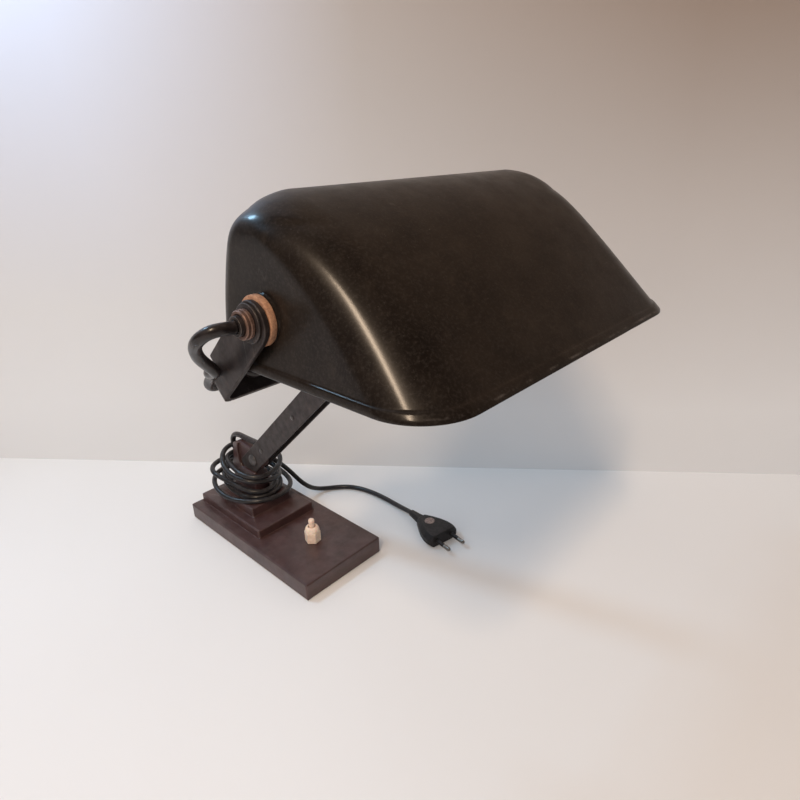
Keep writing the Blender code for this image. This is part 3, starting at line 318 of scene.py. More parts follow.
def brown_bakelite():
    """Mottled red-brown phenolic, matt, with paler rubbed edges and dust on its upward faces."""
    look = Finish("brown_bakelite", Coat_Weight=0.30, Coat_Roughness=0.16)
    clouds = look.span(look.grain(0.016, 5.0, 0.62), 0.34, 0.68)
    colour = look.mix(clouds, (0.039, 0.0165, 0.0150), (0.064, 0.0280, 0.0255))
    flecks = look.span(look.grain(0.0022, 3.0, 0.6), 0.62, 0.72)
    colour = look.mix(look.maths("MULTIPLY", flecks, 0.35), colour, (0.030, 0.0165, 0.0150))
    marks = look.maths("ADD", look.scratches(0.016, 0.0035, (0.2, 1.5, 0.6)),
                       look.scratches(0.022, 0.0025, (1.4, 0.3, -0.9)))
    colour = look.mix(look.maths("MULTIPLY", marks, 0.4), colour, (0.17, 0.125, 0.112))
    film = look.span(look.grain(0.012, 4.0, 0.65), 0.42, 0.75)
    dust = look.maths("MULTIPLY", look.maths("MULTIPLY", film, look.upward()), 0.30)
    colour = look.mix(dust, colour, (0.130, 0.090, 0.083))
    worn = look.maths("MULTIPLY", look.edges(0.0009, 0.02, 0.2),
                      look.span(look.grain(0.005, 4.0, 0.7), 0.36, 0.62))
    colour = look.mix(look.maths("MULTIPLY", worn, 0.7), colour, (0.185, 0.135, 0.118))
    roughness = look.span(look.grain(0.010, 4.0, 0.6), 0.3, 0.7, 0.36, 0.54)
    return look.finish(colour, roughness, (look.grain(0.012, 2.0), 0.2, 0.0004),
                       (look.grain(0.0011, 3.0, 0.6), 0.14, 0.0001), (marks, -0.2, 0.0001), ease=0.0015)


def blackened_steel():
    """Old blackened steel: brown-black, with grey metal showing along its edges."""
    look = Finish("blackened_steel", 0.55)
    clouds = look.span(look.grain(0.008, 5.0, 0.65), 0.34, 0.68)
    colour = look.mix(clouds, (0.024, 0.0175, 0.0165), (0.052, 0.040, 0.0375))
    rust = look.span(look.grain(0.004, 4.0, 0.7), 0.60, 0.74)
    colour = look.mix(look.maths("MULTIPLY", rust, 0.5), colour, (0.090, 0.050, 0.034))
    marks = look.maths("ADD", look.scratches(0.010, 0.004, (0.0, 0.75, 0.0)),
                       look.scratches(0.014, 0.003, (0.9, 0.2, 0.5)))
    colour = look.mix(look.maths("MULTIPLY", marks, 0.5), colour, (0.26, 0.23, 0.21))
    worn = look.maths("MULTIPLY", look.edges(0.0007, 0.02, 0.2),
                      look.span(look.grain(0.004, 4.0, 0.7), 0.30, 0.60))
    colour = look.mix(look.maths("MULTIPLY", worn, 0.8), colour, (0.30, 0.265, 0.24))
    roughness = look.span(look.grain(0.006, 4.0, 0.6), 0.3, 0.7, 0.34, 0.56)
    return look.finish(colour, roughness, (look.grain(0.0012, 4.0, 0.65), 0.25, 0.00015),
                       (look.grain(0.010, 2.0), 0.2, 0.0003), ease=0.0005)


def bare_steel():
    look = Finish("bare_steel", 0.85)
    clouds = look.span(look.grain(0.003, 4.0, 0.65), 0.35, 0.68)
    colour = look.mix(clouds, (0.17, 0.155, 0.14), (0.36, 0.335, 0.31))
    rust = look.span(look.grain(0.0018, 4.0, 0.7), 0.60, 0.72)
    colour = look.mix(look.maths("MULTIPLY", rust, 0.6), colour, (0.16, 0.085, 0.05))
    roughness = look.span(look.grain(0.002, 3.0, 0.6), 0.3, 0.7, 0.24, 0.46)
    return look.finish(colour, roughness, (look.grain(0.0006, 3.0, 0.6), 0.15, 0.00005))


def tarnished_brass():
    look = Finish("tarnished_brass", 0.6)
    clouds = look.span(look.grain(0.0035, 4.0, 0.65), 0.34, 0.68)
    colour = look.mix(clouds, (0.105, 0.058, 0.044), (0.255, 0.150, 0.112))
    dark = look.span(look.grain(0.0016, 4.0, 0.7), 0.58, 0.72)
    colour = look.mix(look.maths("MULTIPLY", dark, 0.7), colour, (0.050, 0.028, 0.022))
    worn = look.edges(0.0005, 0.03, 0.25)
    colour = look.mix(look.maths("MULTIPLY", worn, 0.6), colour, (0.46, 0.32, 0.25))
    roughness = look.span(look.grain(0.003, 3.0, 0.6), 0.3, 0.7, 0.34, 0.58)
    return look.finish(colour, roughness, (look.grain(0.0009, 4.0, 0.65), 0.3, 0.00012))


def red_fibre():
    """Pressed fibre washer: layered, dry and orange-tan, dirty on its face."""
    look = Finish("red_fibre")
    clouds = look.span(look.grain(0.0025, 4.0, 0.65), 0.34, 0.68)
    colour = look.mix(clouds, (0.225, 0.098, 0.052), (0.47, 0.240, 0.130))
    layers = look.grain(0.0011, 3.0, 0.7, (6.0, 0.6, 0.6))
    colour = look.mix(look.span(layers, 0.5, 0.75, 0.0, 0.5), colour, (0.58, 0.40, 0.27))
    dirt = look.span(look.grain(0.0016, 4.0, 0.7), 0.56, 0.70)
    colour = look.mix(look.maths("MULTIPLY", dirt, 0.65), colour, (0.090, 0.045, 0.032))
    roughness = look.span(look.grain(0.002, 3.0, 0.6), 0.3, 0.7, 0.62, 0.85)
    return look.finish(colour, roughness, (layers, 0.5, 0.0002),
                       (look.grain(0.0007, 3.0, 0.6), 0.3, 0.0001))


def ivory_urea():
    look = Finish("ivory_urea", Subsurface_Weight=0.15, Subsurface_Scale=0.002, Coat_Weight=0.15)
    clouds = look.span(look.grain(0.006, 4.0, 0.6), 0.34, 0.68)
    colour = look.mix(clouds, (0.70, 0.500, 0.370), (0.88, 0.700, 0.560))
    dirt = look.span(look.grain(0.0018, 4.0, 0.7), 0.56, 0.74)
    colour = look.mix(look.maths("MULTIPLY", dirt, 0.45), colour, (0.33, 0.20, 0.13))
    worn = look.maths("MULTIPLY", look.edges(0.0006, 0.02, 0.3), 0.25)
    colour = look.mix(worn, colour, (0.92, 0.80, 0.68))
    roughness = look.span(look.grain(0.003, 3.0, 0.6), 0.3, 0.7, 0.34, 0.52)
    return look.finish(colour, roughness, (look.grain(0.0008, 3.0, 0.6), 0.15, 0.00008))


def black_rubber(name, dark, pale, low, high, coat=0.0):
    """Old rubber or PVC: dusty along its top, with a faint moulded grain."""
    look = Finish(name, Specular_IOR_Level=0.3, Coat_Weight=coat, Coat_Roughness=0.16)
    clouds = look.span(look.grain(0.007, 4.0, 0.62), 0.34, 0.68)
    colour = look.mix(clouds, dark, pale)
    film = look.span(look.grain(0.004, 4.0, 0.7), 0.40, 0.72)
    dust = look.maths("MULTIPLY", look.maths("MULTIPLY", film, look.upward()), 0.25)
    colour = look.mix(dust, colour, (0.17, 0.15, 0.145))
    roughness = look.span(look.grain(0.005, 4.0, 0.6), 0.3, 0.7, low, high)
    return look.finish(colour, roughness, (look.grain(0.0008, 3.0, 0.6), 0.14, 0.00008),
                       (look.grain(0.006, 2.0), 0.15, 0.0002))


def black_plastic():
    look = Finish("black_plastic", Specular_IOR_Level=0.3)
    clouds = look.span(look.grain(0.005, 4.0, 0.62), 0.34, 0.68)
    colour = look.mix(clouds, (0.0090, 0.0076, 0.0080), (0.0180, 0.0155, 0.0155))
    dust = look.maths("MULTIPLY", look.upward(), look.span(look.grain(0.003, 4.0, 0.7), 0.40, 0.72))
    colour = look.mix(look.maths("MULTIPLY", dust, 0.3), colour, (0.11, 0.098, 0.096))
    worn = look.maths("MULTIPLY", look.edges(0.0005, 0.02, 0.25), 0.5)
    colour = look.mix(worn, colour, (0.075, 0.066, 0.064))
    roughness = look.span(look.grain(0.003, 3.0, 0.6), 0.3, 0.7, 0.40, 0.58)
    return look.finish(colour, roughness, (look.grain(0.0006, 3.0, 0.6), 0.2, 0.00006))


def mottled(name, dark, pale, size, low, high, metallic=0.0, bump=0.2, depth=0.0001, **constants):
    """A plainer finish in two tones, for the pieces inside the base and the shade."""
    look = Finish(name, metallic, **constants)
    colour = look.mix(look.span(look.grain(size, 4.0, 0.65), 0.34, 0.68), dark, pale)
    fine = look.grain(size / 6, 3.0, 0.6)
    colour = look.mix(look.span(fine, 0.58, 0.78, 0.0, 0.35), colour, dark)
    roughness = look.span(look.grain(size / 2, 3.0, 0.6), 0.3, 0.7, low, high)
    return look.finish(colour, roughness, (fine, bump, depth))


def make_finishes():
    return {
        "dark_bakelite": shade_bakelite(),
        "brown_bakelite": brown_bakelite(),
        "blackened_steel": blackened_steel(),
        "bare_steel": bare_steel(),
        "tarnished_brass": tarnished_brass(),
        "red_fibre": red_fibre(),
        "ivory_urea": ivory_urea(),
        "black_plastic": black_plastic(),
        "black_rubber": black_rubber("lead_rubber", (0.0100, 0.0070, 0.0068),
                                     (0.0210, 0.0155, 0.0150), 0.24, 0.40, 0.16),
        "cord_rubber": black_rubber("cord_rubber", (0.0110, 0.0096, 0.0103),
                                    (0.0205, 0.0182, 0.0190), 0.28, 0.44, 0.2),
        "worn_steel": mottled("worn_steel", (0.050, 0.043, 0.041), (0.125, 0.112, 0.107), 0.003,
                              0.30, 0.50, 0.6, 0.3, 0.0001),
        "cast_iron": mottled("cast_iron", (0.030, 0.028, 0.027), (0.095, 0.090, 0.086), 0.004,
                             0.55, 0.8, 0.5, 0.5, 0.0003),
        "dark_felt": mottled("dark_felt", (0.012, 0.020, 0.013), (0.034, 0.050, 0.035), 0.0016,
                             0.9, 1.0, 0.0, 0.9, 0.0004, Sheen_Weight=0.5),
        "porcelain": mottled("porcelain", (0.60, 0.58, 0.53), (0.80, 0.79, 0.75), 0.006,
                             0.16, 0.30),
        "opal_glass": mottled("opal_glass", (0.80, 0.79, 0.76), (0.88, 0.87, 0.85), 0.010,
                              0.10, 0.20, bump=0.05, Coat_Weight=0.3),
        "grey_label": mottled("grey_label", (0.16, 0.105, 0.088), (0.37, 0.27, 0.235), 0.0022,
                              0.45, 0.65, bump=0.3),
    }


def smoothing():
    """Geometry nodes for the CAD's meshes: they weld each one, shade it smooth apart from its
    sharp edges, and mark its long outer edges for rounded()."""
    tree = bpy.data.node_groups.new("weld_and_smooth", "GeometryNodeTree")
    for way in ("INPUT", "OUTPUT"):
        tree.interface.new_socket("Geometry", in_out=way, socket_type="NodeSocketGeometry")
    mesh = add_node(tree, "NodeGroupInput", {})
    mesh = add_node(tree, "GeometryNodeMergeByDistance", {"Geometry": mesh, "Distance": CAD_WELD})
    mesh = add_node(tree, "GeometryNodeSetShadeSmooth", {"Geometry": mesh})
    angle = add_node(tree, "GeometryNodeInputMeshEdgeAngle", {}, "Unsigned Angle")
    compared = {"A": angle, "B": SHARP_ANGLE}
    blunt = add_node(tree, "FunctionNodeCompare", compared, operation="LESS_EQUAL")
    inputs = {"Geometry": mesh, "Shade Smooth": blunt}
    mesh = add_node(tree, "GeometryNodeSetShadeSmooth", inputs, domain="EDGE")
    start = add_node(tree, "GeometryNodeInputMeshEdgeVertices", {}, "Position 1")
    end = add_node(tree, "GeometryNodeInputMeshEdgeVertices", {}, "Position 2")
    length = add_node(tree, "ShaderNodeVectorMath", {0: start, 1: end}, "Value", operation="DISTANCE")
    compared = {"A": length, "B": SHORT_EDGE}
    long = add_node(tree, "FunctionNodeCompare", compared, operation="GREATER_THAN")
    bend = add_node(tree, "GeometryNodeInputMeshEdgeAngle", {}, "Signed Angle")
    compared = {"A": bend, "B": SHARP_ANGLE}
    outer = add_node(tree, "FunctionNodeCompare", compared, operation="GREATER_THAN")
    marked = add_node(tree, "FunctionNodeBooleanMath", {0: long, 1: outer}, operation="AND")
    inputs = {"Geometry": mesh, "Selection": marked, "Name": "bevel_weight_edge", "Value": 1.0}
    mesh = add_node(tree, "GeometryNodeStoreNamedAttribute", inputs, domain="EDGE", data_type="FLOAT")
    tree.links.new(mesh, tree.nodes.new("NodeGroupOutput").inputs[0])
    return tree


def weighted(item):
    """Keeps flat faces flat beside rounded edges."""
    item.modifiers.new("weighted_normals", "WEIGHTED_NORMAL").keep_sharp = True


def rounded(item, width, segments=3, angle=None):
    """Rounds the edges sharper than that angle or, without one, those that smoothing() marks."""
    rounding = item.modifiers.new("rounding", "BEVEL")
    rounding.width = width
    rounding.segments = segments
    rounding.limit_method = "ANGLE" if angle else "WEIGHT"
    if angle:
        rounding.angle_limit = radians(angle)
    else:
        rounding.use_clamp_overlap = False


def place(item, body, slot, replaced=(), finish=None):
    """Links a finished piece to its CAD body, its material slot and the nodes that it stands for."""
    item.data.materials.append(FINISHES[finish or slot])
    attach(item, body)
    if replaced:
        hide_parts(*replaced)
    return item


def mesh_object(name, points, faces, angle=35):
    mesh = bpy.data.meshes.new(name)
    work = bmesh.new()
    made = [work.verts.new(point) for point in points]
    for face in faces:
        work.faces.new([made[i] for i in face])
    bmesh.ops.remove_doubles(work, verts=work.verts, dist=BUILT_WELD)
    bmesh.ops.recalc_face_normals(work, faces=work.faces)
    work.to_mesh(mesh)
    work.free()
    mesh.shade_smooth()
    mesh.set_sharp_from_angle(angle=radians(angle))
    item = bpy.data.objects.new(name, mesh)
    bpy.context.scene.collection.objects.link(item)
    return item


def lathe(name, profile, at, axis, steps=64, closed=False, angle=35):
    """A turned piece: a profile of (radius, height) swept round an axis through a place."""
    turn = Vector(axis).to_track_quat("Z", "Y").to_matrix()
    points = []
    for radius, height in profile:
        for step in range(steps):
            a = 2 * pi * step / steps
            points.append(Vector(at) + turn @ Vector((radius * cos(a), radius * sin(a), height)))
    rings = list(zip(range(len(profile)), range(1, len(profile))))
    if closed:
        rings.append((len(profile) - 1, 0))
    faces = []
    for a, b in rings:
        for i in range(steps):
            j = (i + 1) % steps
            corners = [a * steps + i, a * steps + j, b * steps + j, b * steps + i]
            if profile[a][0] == 0:
                corners = [a * steps, b * steps + j, b * steps + i]
            elif profile[b][0] == 0:
                corners = [a * steps + i, a * steps + j, b * steps]
            faces.append(corners)
    return mesh_object(name, points, faces, angle)


def rim(outer, inner, half, edge=0.0003):
    """The closed profile of a flat ring with eased edges, for lathe."""
    return ((outer - edge, half), (outer - 0.3 * edge, half - 0.3 * edge), (outer, half - edge),
            (outer, edge - half), (outer - 0.3 * edge, 0.3 * edge - half), (outer - edge, -half),
            (inner + edge, -half), (inner, edge - half), (inner, half - edge),
            (inner + edge, half))


def smooth_line(points, spacing, passes=0):
    """Even points on the smooth curve through a route's own points, evened out further by
    any passes."""
    knots = np.array([tuple(point) for point in points])
    knots = np.vstack((2 * knots[0] - knots[1], knots, 2 * knots[-1] - knots[-2]))
    fine = []
    t = (np.arange(10) / 10)[:, None]
    for before, start, end, after in zip(knots, knots[1:], knots[2:], knots[3:]):
        fine.append(0.5 * (2 * start + (end - before) * t
                           + (2 * before - 5 * start + 4 * end - after) * t ** 2
                           + (3 * start - before - 3 * end + after) * t ** 3))
    fine = np.vstack(fine + [knots[-2]])
    run = np.concatenate(([0.0], np.cumsum(np.linalg.norm(np.diff(fine, axis=0), axis=1))))
    wanted = np.linspace(0.0, run[-1], round(run[-1] / spacing) + 1)
    line = np.array([np.interp(wanted, run, fine[:, axis]) for axis in range(3)]).T
    for _ in range(passes):
        middle = (line[1:-3] + 2 * line[2:-2] + line[3:-1]) / 4
        line = np.vstack((line[:2], middle, line[-2:]))
    return line


def round_cord(name, line, radius):
    curve = bpy.data.curves.new(name, "CURVE")
    curve.dimensions = "3D"
    curve.bevel_depth = radius
    curve.bevel_resolution = 6
    curve.use_fill_caps = True
    spline = curve.splines.new("POLY")
    spline.points.add(len(line) - 1)
    for point, where in zip(spline.points, line):
        point.co = (*where, 1.0)
    spline.use_smooth = True
    item = bpy.data.objects.new(name, curve)
    bpy.context.scene.collection.objects.link(item)
    return item


def mesh_tube(name, line, radius, sides=20):
    """A round tube round a line in the plane x = 0, closed at both ends."""
    points = []
    for i, where in enumerate(line):
        ahead = Vector(line[min(i + 1, len(line) - 1)]) - Vector(line[max(i - 1, 0)])
        across = Vector((1.0, 0.0, 0.0))
        out = ahead.normalized().cross(across)
        for side in range(sides):
            a = 2 * pi * side / sides
            points.append(Vector(where) + radius * (cos(a) * across + sin(a) * out))
    faces = []
    for i in range(len(line) - 1):
        for side in range(sides):
            after = (side + 1) % sides
            faces.append([i * sides + side, i * sides + after,
                          (i + 1) * sides + after, (i + 1) * sides + side])
    faces.append(list(range(sides)))
    faces.append(list(range(len(points) - sides, len(points))))
    return mesh_object(name, points, faces, 60)


def strain_relief():
    """A tapered, ribbed sleeve where the cord leaves the base."""
    profile = [(0.0, 0.0), (0.0044, 0.0), (0.0044, 0.0026), (0.0041, 0.0031)]
    for rib in range(6):
        z = 0.0036 + 0.0031 * rib
        radius = 0.0040 - 0.00018 * rib
        profile += [(radius, z), (radius, z + 0.0018), (radius - 0.0006, z + 0.0021),
                    (radius - 0.0006, z + 0.0028)]
    profile += [(0.0029, 0.0222), (0.0026, 0.0225), (0.0, 0.0225)]
    sleeve = lathe("strain_relief", profile, GLAND, (0, 1, 0), 40)
    return place(sleeve, "base", "black_rubber", ["cord_gland"])


def plug_outline(back, side, half, chamfer):
    """One cross-section of the plug: flat top and bottom faces and slanting shoulders."""
    shoulder = min(side * 0.55, chamfer)
    return [(-back, y, z) for y, z in (
        (side - shoulder, half), (side, half * 0.30), (side, -half * 0.45), (side - shoulder, -half),
        (shoulder - side, -half), (-side, -half * 0.45), (-side, half * 0.30), (shoulder - side, half))]


def plug():
    """Flat two-pin plug: widest just behind its face and drawn in to a collar at the cord."""
    stations = (
        (0.0, 0.0158, 0.00600, 0.0030), (0.0006, 0.0164, 0.00655, 0.0032),
        (0.0045, 0.0176, 0.00685, 0.0036), (0.0110, 0.0172, 0.00685, 0.0038),
        (0.0190, 0.0148, 0.00685, 0.0038), (0.0265, 0.0112, 0.00665, 0.0034),
        (0.0325, 0.0080, 0.00610, 0.0028), (0.0358, 0.0064, 0.00540, 0.0022),
        (0.0362, 0.0050, 0.00450, 0.0018), (0.0420, 0.0041, 0.00400, 0.0016),
        (0.0530, 0.0031, 0.00310, 0.0012),
    )
    points = []
    for station in stations:
        points += plug_outline(*station)
    faces = []
    for ring in range(len(stations) - 1):
        for i in range(8):
            j = (i + 1) % 8
            faces.append([ring * 8 + i, ring * 8 + j, ring * 8 + 8 + j, ring * 8 + 8 + i])
    faces += [list(range(8)), list(range(len(points) - 8, len(points)))]
    body = mesh_object("plug_shell", points, faces, 30)
    turn = PLUG_HEADING.to_track_quat("X", "Z").to_matrix().to_4x4()
    body.data.transform(Matrix.Translation(PLUG_FACE) @ turn)
    rounded(body, 0.0005, 2, 20)
    weighted(body)
    place(body, "base", "black_plastic", ["plug_body"])
    top = PLUG_FACE - 0.0225 * PLUG_HEADING + Vector((0, 0, 0.00672))
    profile = ((0, 0.00042), (0.0018, 0.00042), (0.0019, 0.00018), (0.0031, 0.00018),
               (0.0033, 0.00058), (0.0047, 0.00060), (0.0051, 0.00030), (0.0052, 0.0), (0, 0.0))
    label = lathe("plug_badge", profile, top, (0, 0, 1), 48)
    place(label, "base", "grey_label", ["plug_label"])
    return [body, label]


def mains_cord():
    line = smooth_line(MAINS_ROUTE, 0.002, 14)
    item = round_cord("mains_cord", line, CORD_RADIUS)
    solids = ["cord_lead_in", "cord_coil_low", "cord_coil_high", "cord_tail"]
    place(item, "base", "black_rubber", solids, "cord_rubber")
    pieces = [strain_relief(), *plug()]


def lamp_lead():
    """The lamp's own lead: stud to yoke in a thicker sleeve, the crossbar, the arm, the knuckle."""
    route = [Vector(point) for point in STUD_ROUTE]
    route += [arm_point(*point) for point in NOTCH_ROUTE]
    upper = round_cord("lead_upper", smooth_line(route, 0.0012, 6), SLEEVE_RADIUS)
    place(upper, "arm", "black_rubber", ["lead_sleeve"])
    route = [arm_point(*point) for point in CROSSBAR_ROUTE]
    middle = round_cord("lead_middle", smooth_line(route, 0.002, 4), LEAD_RADIUS)
    place(middle, "arm", "black_rubber", ["arm_lead"])
    route = [arm_point(0.0, 0.0640, 0.0062), arm_point(0.0, 0.0560, 0.0062),
             arm_point(0.0, 0.0420, 0.0070)]
    route += [Vector(point) for point in KNUCKLE_ROUTE]
    lower = mesh_tube("lead_lower", smooth_line(route, 0.0016, 8), LEAD_RADIUS)
    lower.data.materials.append(FINISHES["black_rubber"])
    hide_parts("knuckle_lead")
    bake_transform(lower)


def shade_level(height, inset):
    """One level outline of the shade, a rectangle with two corner radii, evenly divided."""
    near = SHADE_FRONT + np.interp(height, FRONT[:, 1], FRONT[:, 0]) + inset
    far = SHADE_FRONT + np.interp(height, REAR[:, 1], REAR[:, 0]) - inset
    side = SHADE_HALF_LENGTH - np.interp(height, END[:, 1], END[:, 0]) - inset
    depth = far - near
    front_radius = min(FRONT_CORNER_RADIUS, depth * 0.62)
    rear_radius = min(REAR_CORNER_RADIUS, depth - front_radius)
    corners = (
        (side - rear_radius, far - rear_radius, rear_radius, 0),
        (rear_radius - side, far - rear_radius, rear_radius, 90),
        (front_radius - side, near + front_radius, front_radius, 180),
        (side - front_radius, near + front_radius, front_radius, 270),
    )
    runs = []
    for x, y, radius, start in corners:
        angles = np.radians(np.linspace(start, start + 90, CORNER_POINTS))
        runs.append([(x + radius * cos(a), y + radius * sin(a)) for a in angles])
    points = []
    for run, after, count in zip(runs, runs[1:] + runs[:1], SIDE_STEPS):
        points += run
        for step in range(1, count):
            mixed = np.array(run[-1]) + (np.array(after[0]) - np.array(run[-1])) * step / count
            points.append(tuple(mixed))
    return [(x, y, SHADE_RIM_Z + height) for x, y in points]


def bezier(points):
    """Close points along one cubic curve."""
    p = np.array(points)
    t = np.linspace(0, 1, 6000)[:, None]
    ends = (1 - t) ** 3 * p[0] + t ** 3 * p[3]
    return ends + 3 * (1 - t) * t * ((1 - t) * p[1] + t * p[2])


FRONT = bezier(FRONT_PROFILE)
REAR = bezier(REAR_PROFILE)
END = bezier(END_PROFILE)
# The end turns over into the ridge through its last few millimetres.
TURN = np.clip((END[:, 1] - CREST_START) / (SHADE_HEIGHT - CREST_START), 0, 1)
END[:, 0] += CREST_REACH * (1 - np.sqrt(1 - TURN ** 2))


def chipped(point):
    """A point of the lip, moved in where its front edge has lost a chip."""
    x, y, z = point
    if y > SHADE_FRONT + 0.02:
        return point
    wide = noise.noise(Vector((x * 260, 0.7, z * 180)))
    narrow = noise.noise(Vector((x * 900, 3.1, 0)))
    share = 1.0 if CHIPPED_FROM < x < CHIPPED_TO else ELSEWHERE
    return x, y + CHIP_DEPTH * max(0.0, wide * 0.5 + narrow - 0.25) * share, z


def shade():
    """The shell from its lip to its ridge, in level rows, and the bosses that the studs cross."""
    # Height and inset of each row of the lip, up to the step above it.
    edge = ((0.0, 0.0011), (0.00025, 0.0004), (0.0009, 0.0), (0.0024, 0.0), (0.0038, 0.0),
            (LIP_HEIGHT - 0.0004, 0.00008), (LIP_HEIGHT, LIP_STEP * 0.5),
            (LIP_HEIGHT + 0.0003, LIP_STEP), (LIP_HEIGHT + 0.0010, LIP_STEP))
    rows = [[chipped(point) for point in shade_level(height, inset)] for height, inset in edge]
    levels = 64
    crest = SHADE_HEIGHT - CREST_GAP
    rises = [crest * sin(pi / 2 * i / (levels - 1)) for i in range(levels)]
    rows += [shade_level(rise, LIP_STEP) for rise in rises if rise > LIP_HEIGHT + 0.0020]
    count = len(rows[0])
    points = [point for row in rows for point in row]
    faces = []
    for i in range(len(rows) - 1):
        for j in range(count):
            after = (j + 1) % count
            faces.append([i * count + j, i * count + after,
                          (i + 1) * count + after, (i + 1) * count + j])
    faces.append(list(range(len(points) - count, len(points))))
    shell = mesh_object("shade", points, faces, 60)
    thick = shell.modifiers.new("thickness", "SOLIDIFY")
    thick.thickness = SHADE_WALL
    thick.offset = -1.0
    place(shell, "shade", "dark_bakelite", ["shade_shell"])
    for side, sign in (("left", -1), ("right", 1)):
        profile = ((STUD_HOLE_RADIUS, 0.0026), (0.0119, 0.0026), (0.0122, 0.0024), (0.0123, 0.0020),
                   (0.0127, 0.0010), (0.0135, -0.0002), (0.0135, -0.0014), (STUD_HOLE_RADIUS, -0.0014))
        boss = lathe("shade_boss_" + side, profile, at_pivot(sign * BOSS_X), (sign, 0, 0), 64, True)
        place(boss, "shade", "dark_bakelite")


def pivots():
    """Fibre washer, wave washer and nut of each pivot, and the right stud's end."""
    for side, sign in (("left", -1), ("right", 1)):
        out = (sign, 0, 0)
        profile = rim(0.0125, STUD_HOLE_RADIUS, 0.00175, 0.0004)
        fibre = lathe("fibre_" + side, profile, at_pivot(sign * FIBRE_X), out, 72, True)
        place(fibre, "shade", "red_fibre", ["fibre_washer_" + side])
        profile = rim(0.0096, STUD_HOLE_RADIUS, 0.0005, 0.0002)
        washer = lathe("washer_" + side, profile, at_pivot(sign * WASHER_X), out, 64, True)
        place(washer, "shade", "blackened_steel", ["outer_washer_" + side])
        profile = ((0.0070, 0.0), (0.0073, 0.0003), (0.0073, 0.0016), (0.0069, 0.0019),
                   (0.0069, 0.0022), (0.0071, 0.0025), (0.0071, 0.0036), (0.0067, 0.0040),
                   (0.0056, 0.0040), (0.0052, 0.0037), (0.0051, 0.0))
        nut = lathe("nut_" + side, profile, at_pivot(sign * NUT_X), out, 64, True)
        place(nut, "shade", "tarnished_brass", ["pivot_nut_" + side])
    profile = ((0.0, 0.0), (0.0048, 0.0), (0.0050, -0.0003), (0.0050, -0.0065), (0.0, -0.0065))
    end = lathe("stud_end_right", profile, at_pivot(STUD_END_X), (1, 0, 0), 40)
    place(end, "shade", "tarnished_brass")


def switch():
    """Domed bush and push button over the hexagonal nut."""
    z = SWITCH_NUT_TOP
    profile = ((0.0036, z + 0.0043), (0.0041, z + 0.0046), (0.0048, z + 0.0044), (0.0055, z + 0.0038),
               (0.0062, z + 0.0028), (0.0067, z + 0.0015), (0.0070, z + 0.0003), (0.0070, z),
               (0.0045, z), (0.0045, 0.0128), (0.0035, 0.0128), (0.0035, z + 0.0038))
    bush = lathe("switch_bush", profile, (0, SWITCH_Y, 0), (0, 0, 1), 64, True)
    place(bush, "base", "ivory_urea", ["switch_collar"])
    profile = ((0, 0.0415), (0.0009, 0.04145), (0.0018, 0.0412), (0.0025, 0.0406), (0.0029, 0.0397),
               (0.0030, 0.0386), (0.0028, 0.0374), (0.0027, 0.0350), (0.0027, 0.0092), (0, 0.0092))
    button = lathe("push_button", profile, (0, SWITCH_Y, 0), (0, 0, 1), 48)
    place(button, "button", "ivory_urea", ["switch_button"])


CAD_FINISH = {
    "base_moulding": "brown_bakelite", "column": "brown_bakelite",
    "arm_bar_left": "blackened_steel", "arm_bar_right": "blackened_steel",
    "yoke_strap": "blackened_steel", "yoke_block": "blackened_steel",
    "spacer_rivet_lower": "worn_steel", "spacer_rivet_upper": "worn_steel",
    "spacer_sleeve_lower": "blackened_steel", "spacer_sleeve_upper": "blackened_steel",
    "block_rivet": "worn_steel", "bottom_cover": "blackened_steel",
    "hinge_screw": "worn_steel", "hinge_nut": "blackened_steel", "yoke_screw": "bare_steel",
    "bottom_screw_1": "bare_steel", "bottom_screw_2": "bare_steel",
    "bottom_screw_3": "bare_steel", "bottom_screw_4": "bare_steel",
    "column_screw_front": "bare_steel", "column_screw_rear": "bare_steel",
    "plug_pin_left": "bare_steel", "plug_pin_right": "bare_steel",
    "stud_left": "blackened_steel", "stud_right": "tarnished_brass",
    "stud_inner_nut": "tarnished_brass", "bulb_cap": "tarnished_brass",
    "switch_nut": "ivory_urea", "switch_body": "porcelain", "terminal_block": "porcelain",
    "holder_insulator": "porcelain", "holder_cap": "black_plastic", "holder_skirt": "black_plastic",
    "pin_sleeve_left": "black_plastic", "pin_sleeve_right": "black_plastic",
    "bulb_glass": "opal_glass", "ballast_weight": "cast_iron", "felt_pad": "dark_felt",
    "stud_lead": "black_rubber",
}
ROUNDED = {
    "base_moulding": 0.0016, "column": 0.0009, "yoke_strap": 0.0005, "yoke_block": 0.0003,
    "arm_bar_left": 0.0003, "arm_bar_right": 0.0003, "switch_nut": 0.0005, "hinge_nut": 0.0003,
}


def finish_cad_nodes():
    """Gives the CAD's own pieces their materials, smooth shading and eased edges."""
    tree = smoothing()
    for name, slot in CAD_FINISH.items():
        item = NODES[name]
        item.data.materials.clear()
        item.data.materials.append(FINISHES[slot])
        normals = item.data.attributes.get("custom_normal")
        if normals:
            item.data.attributes.remove(normals)
        item.modifiers.new("smoothing", "NODES").node_group = tree
        if name in ROUNDED:
            rounded(item, ROUNDED[name])
        weighted(item)


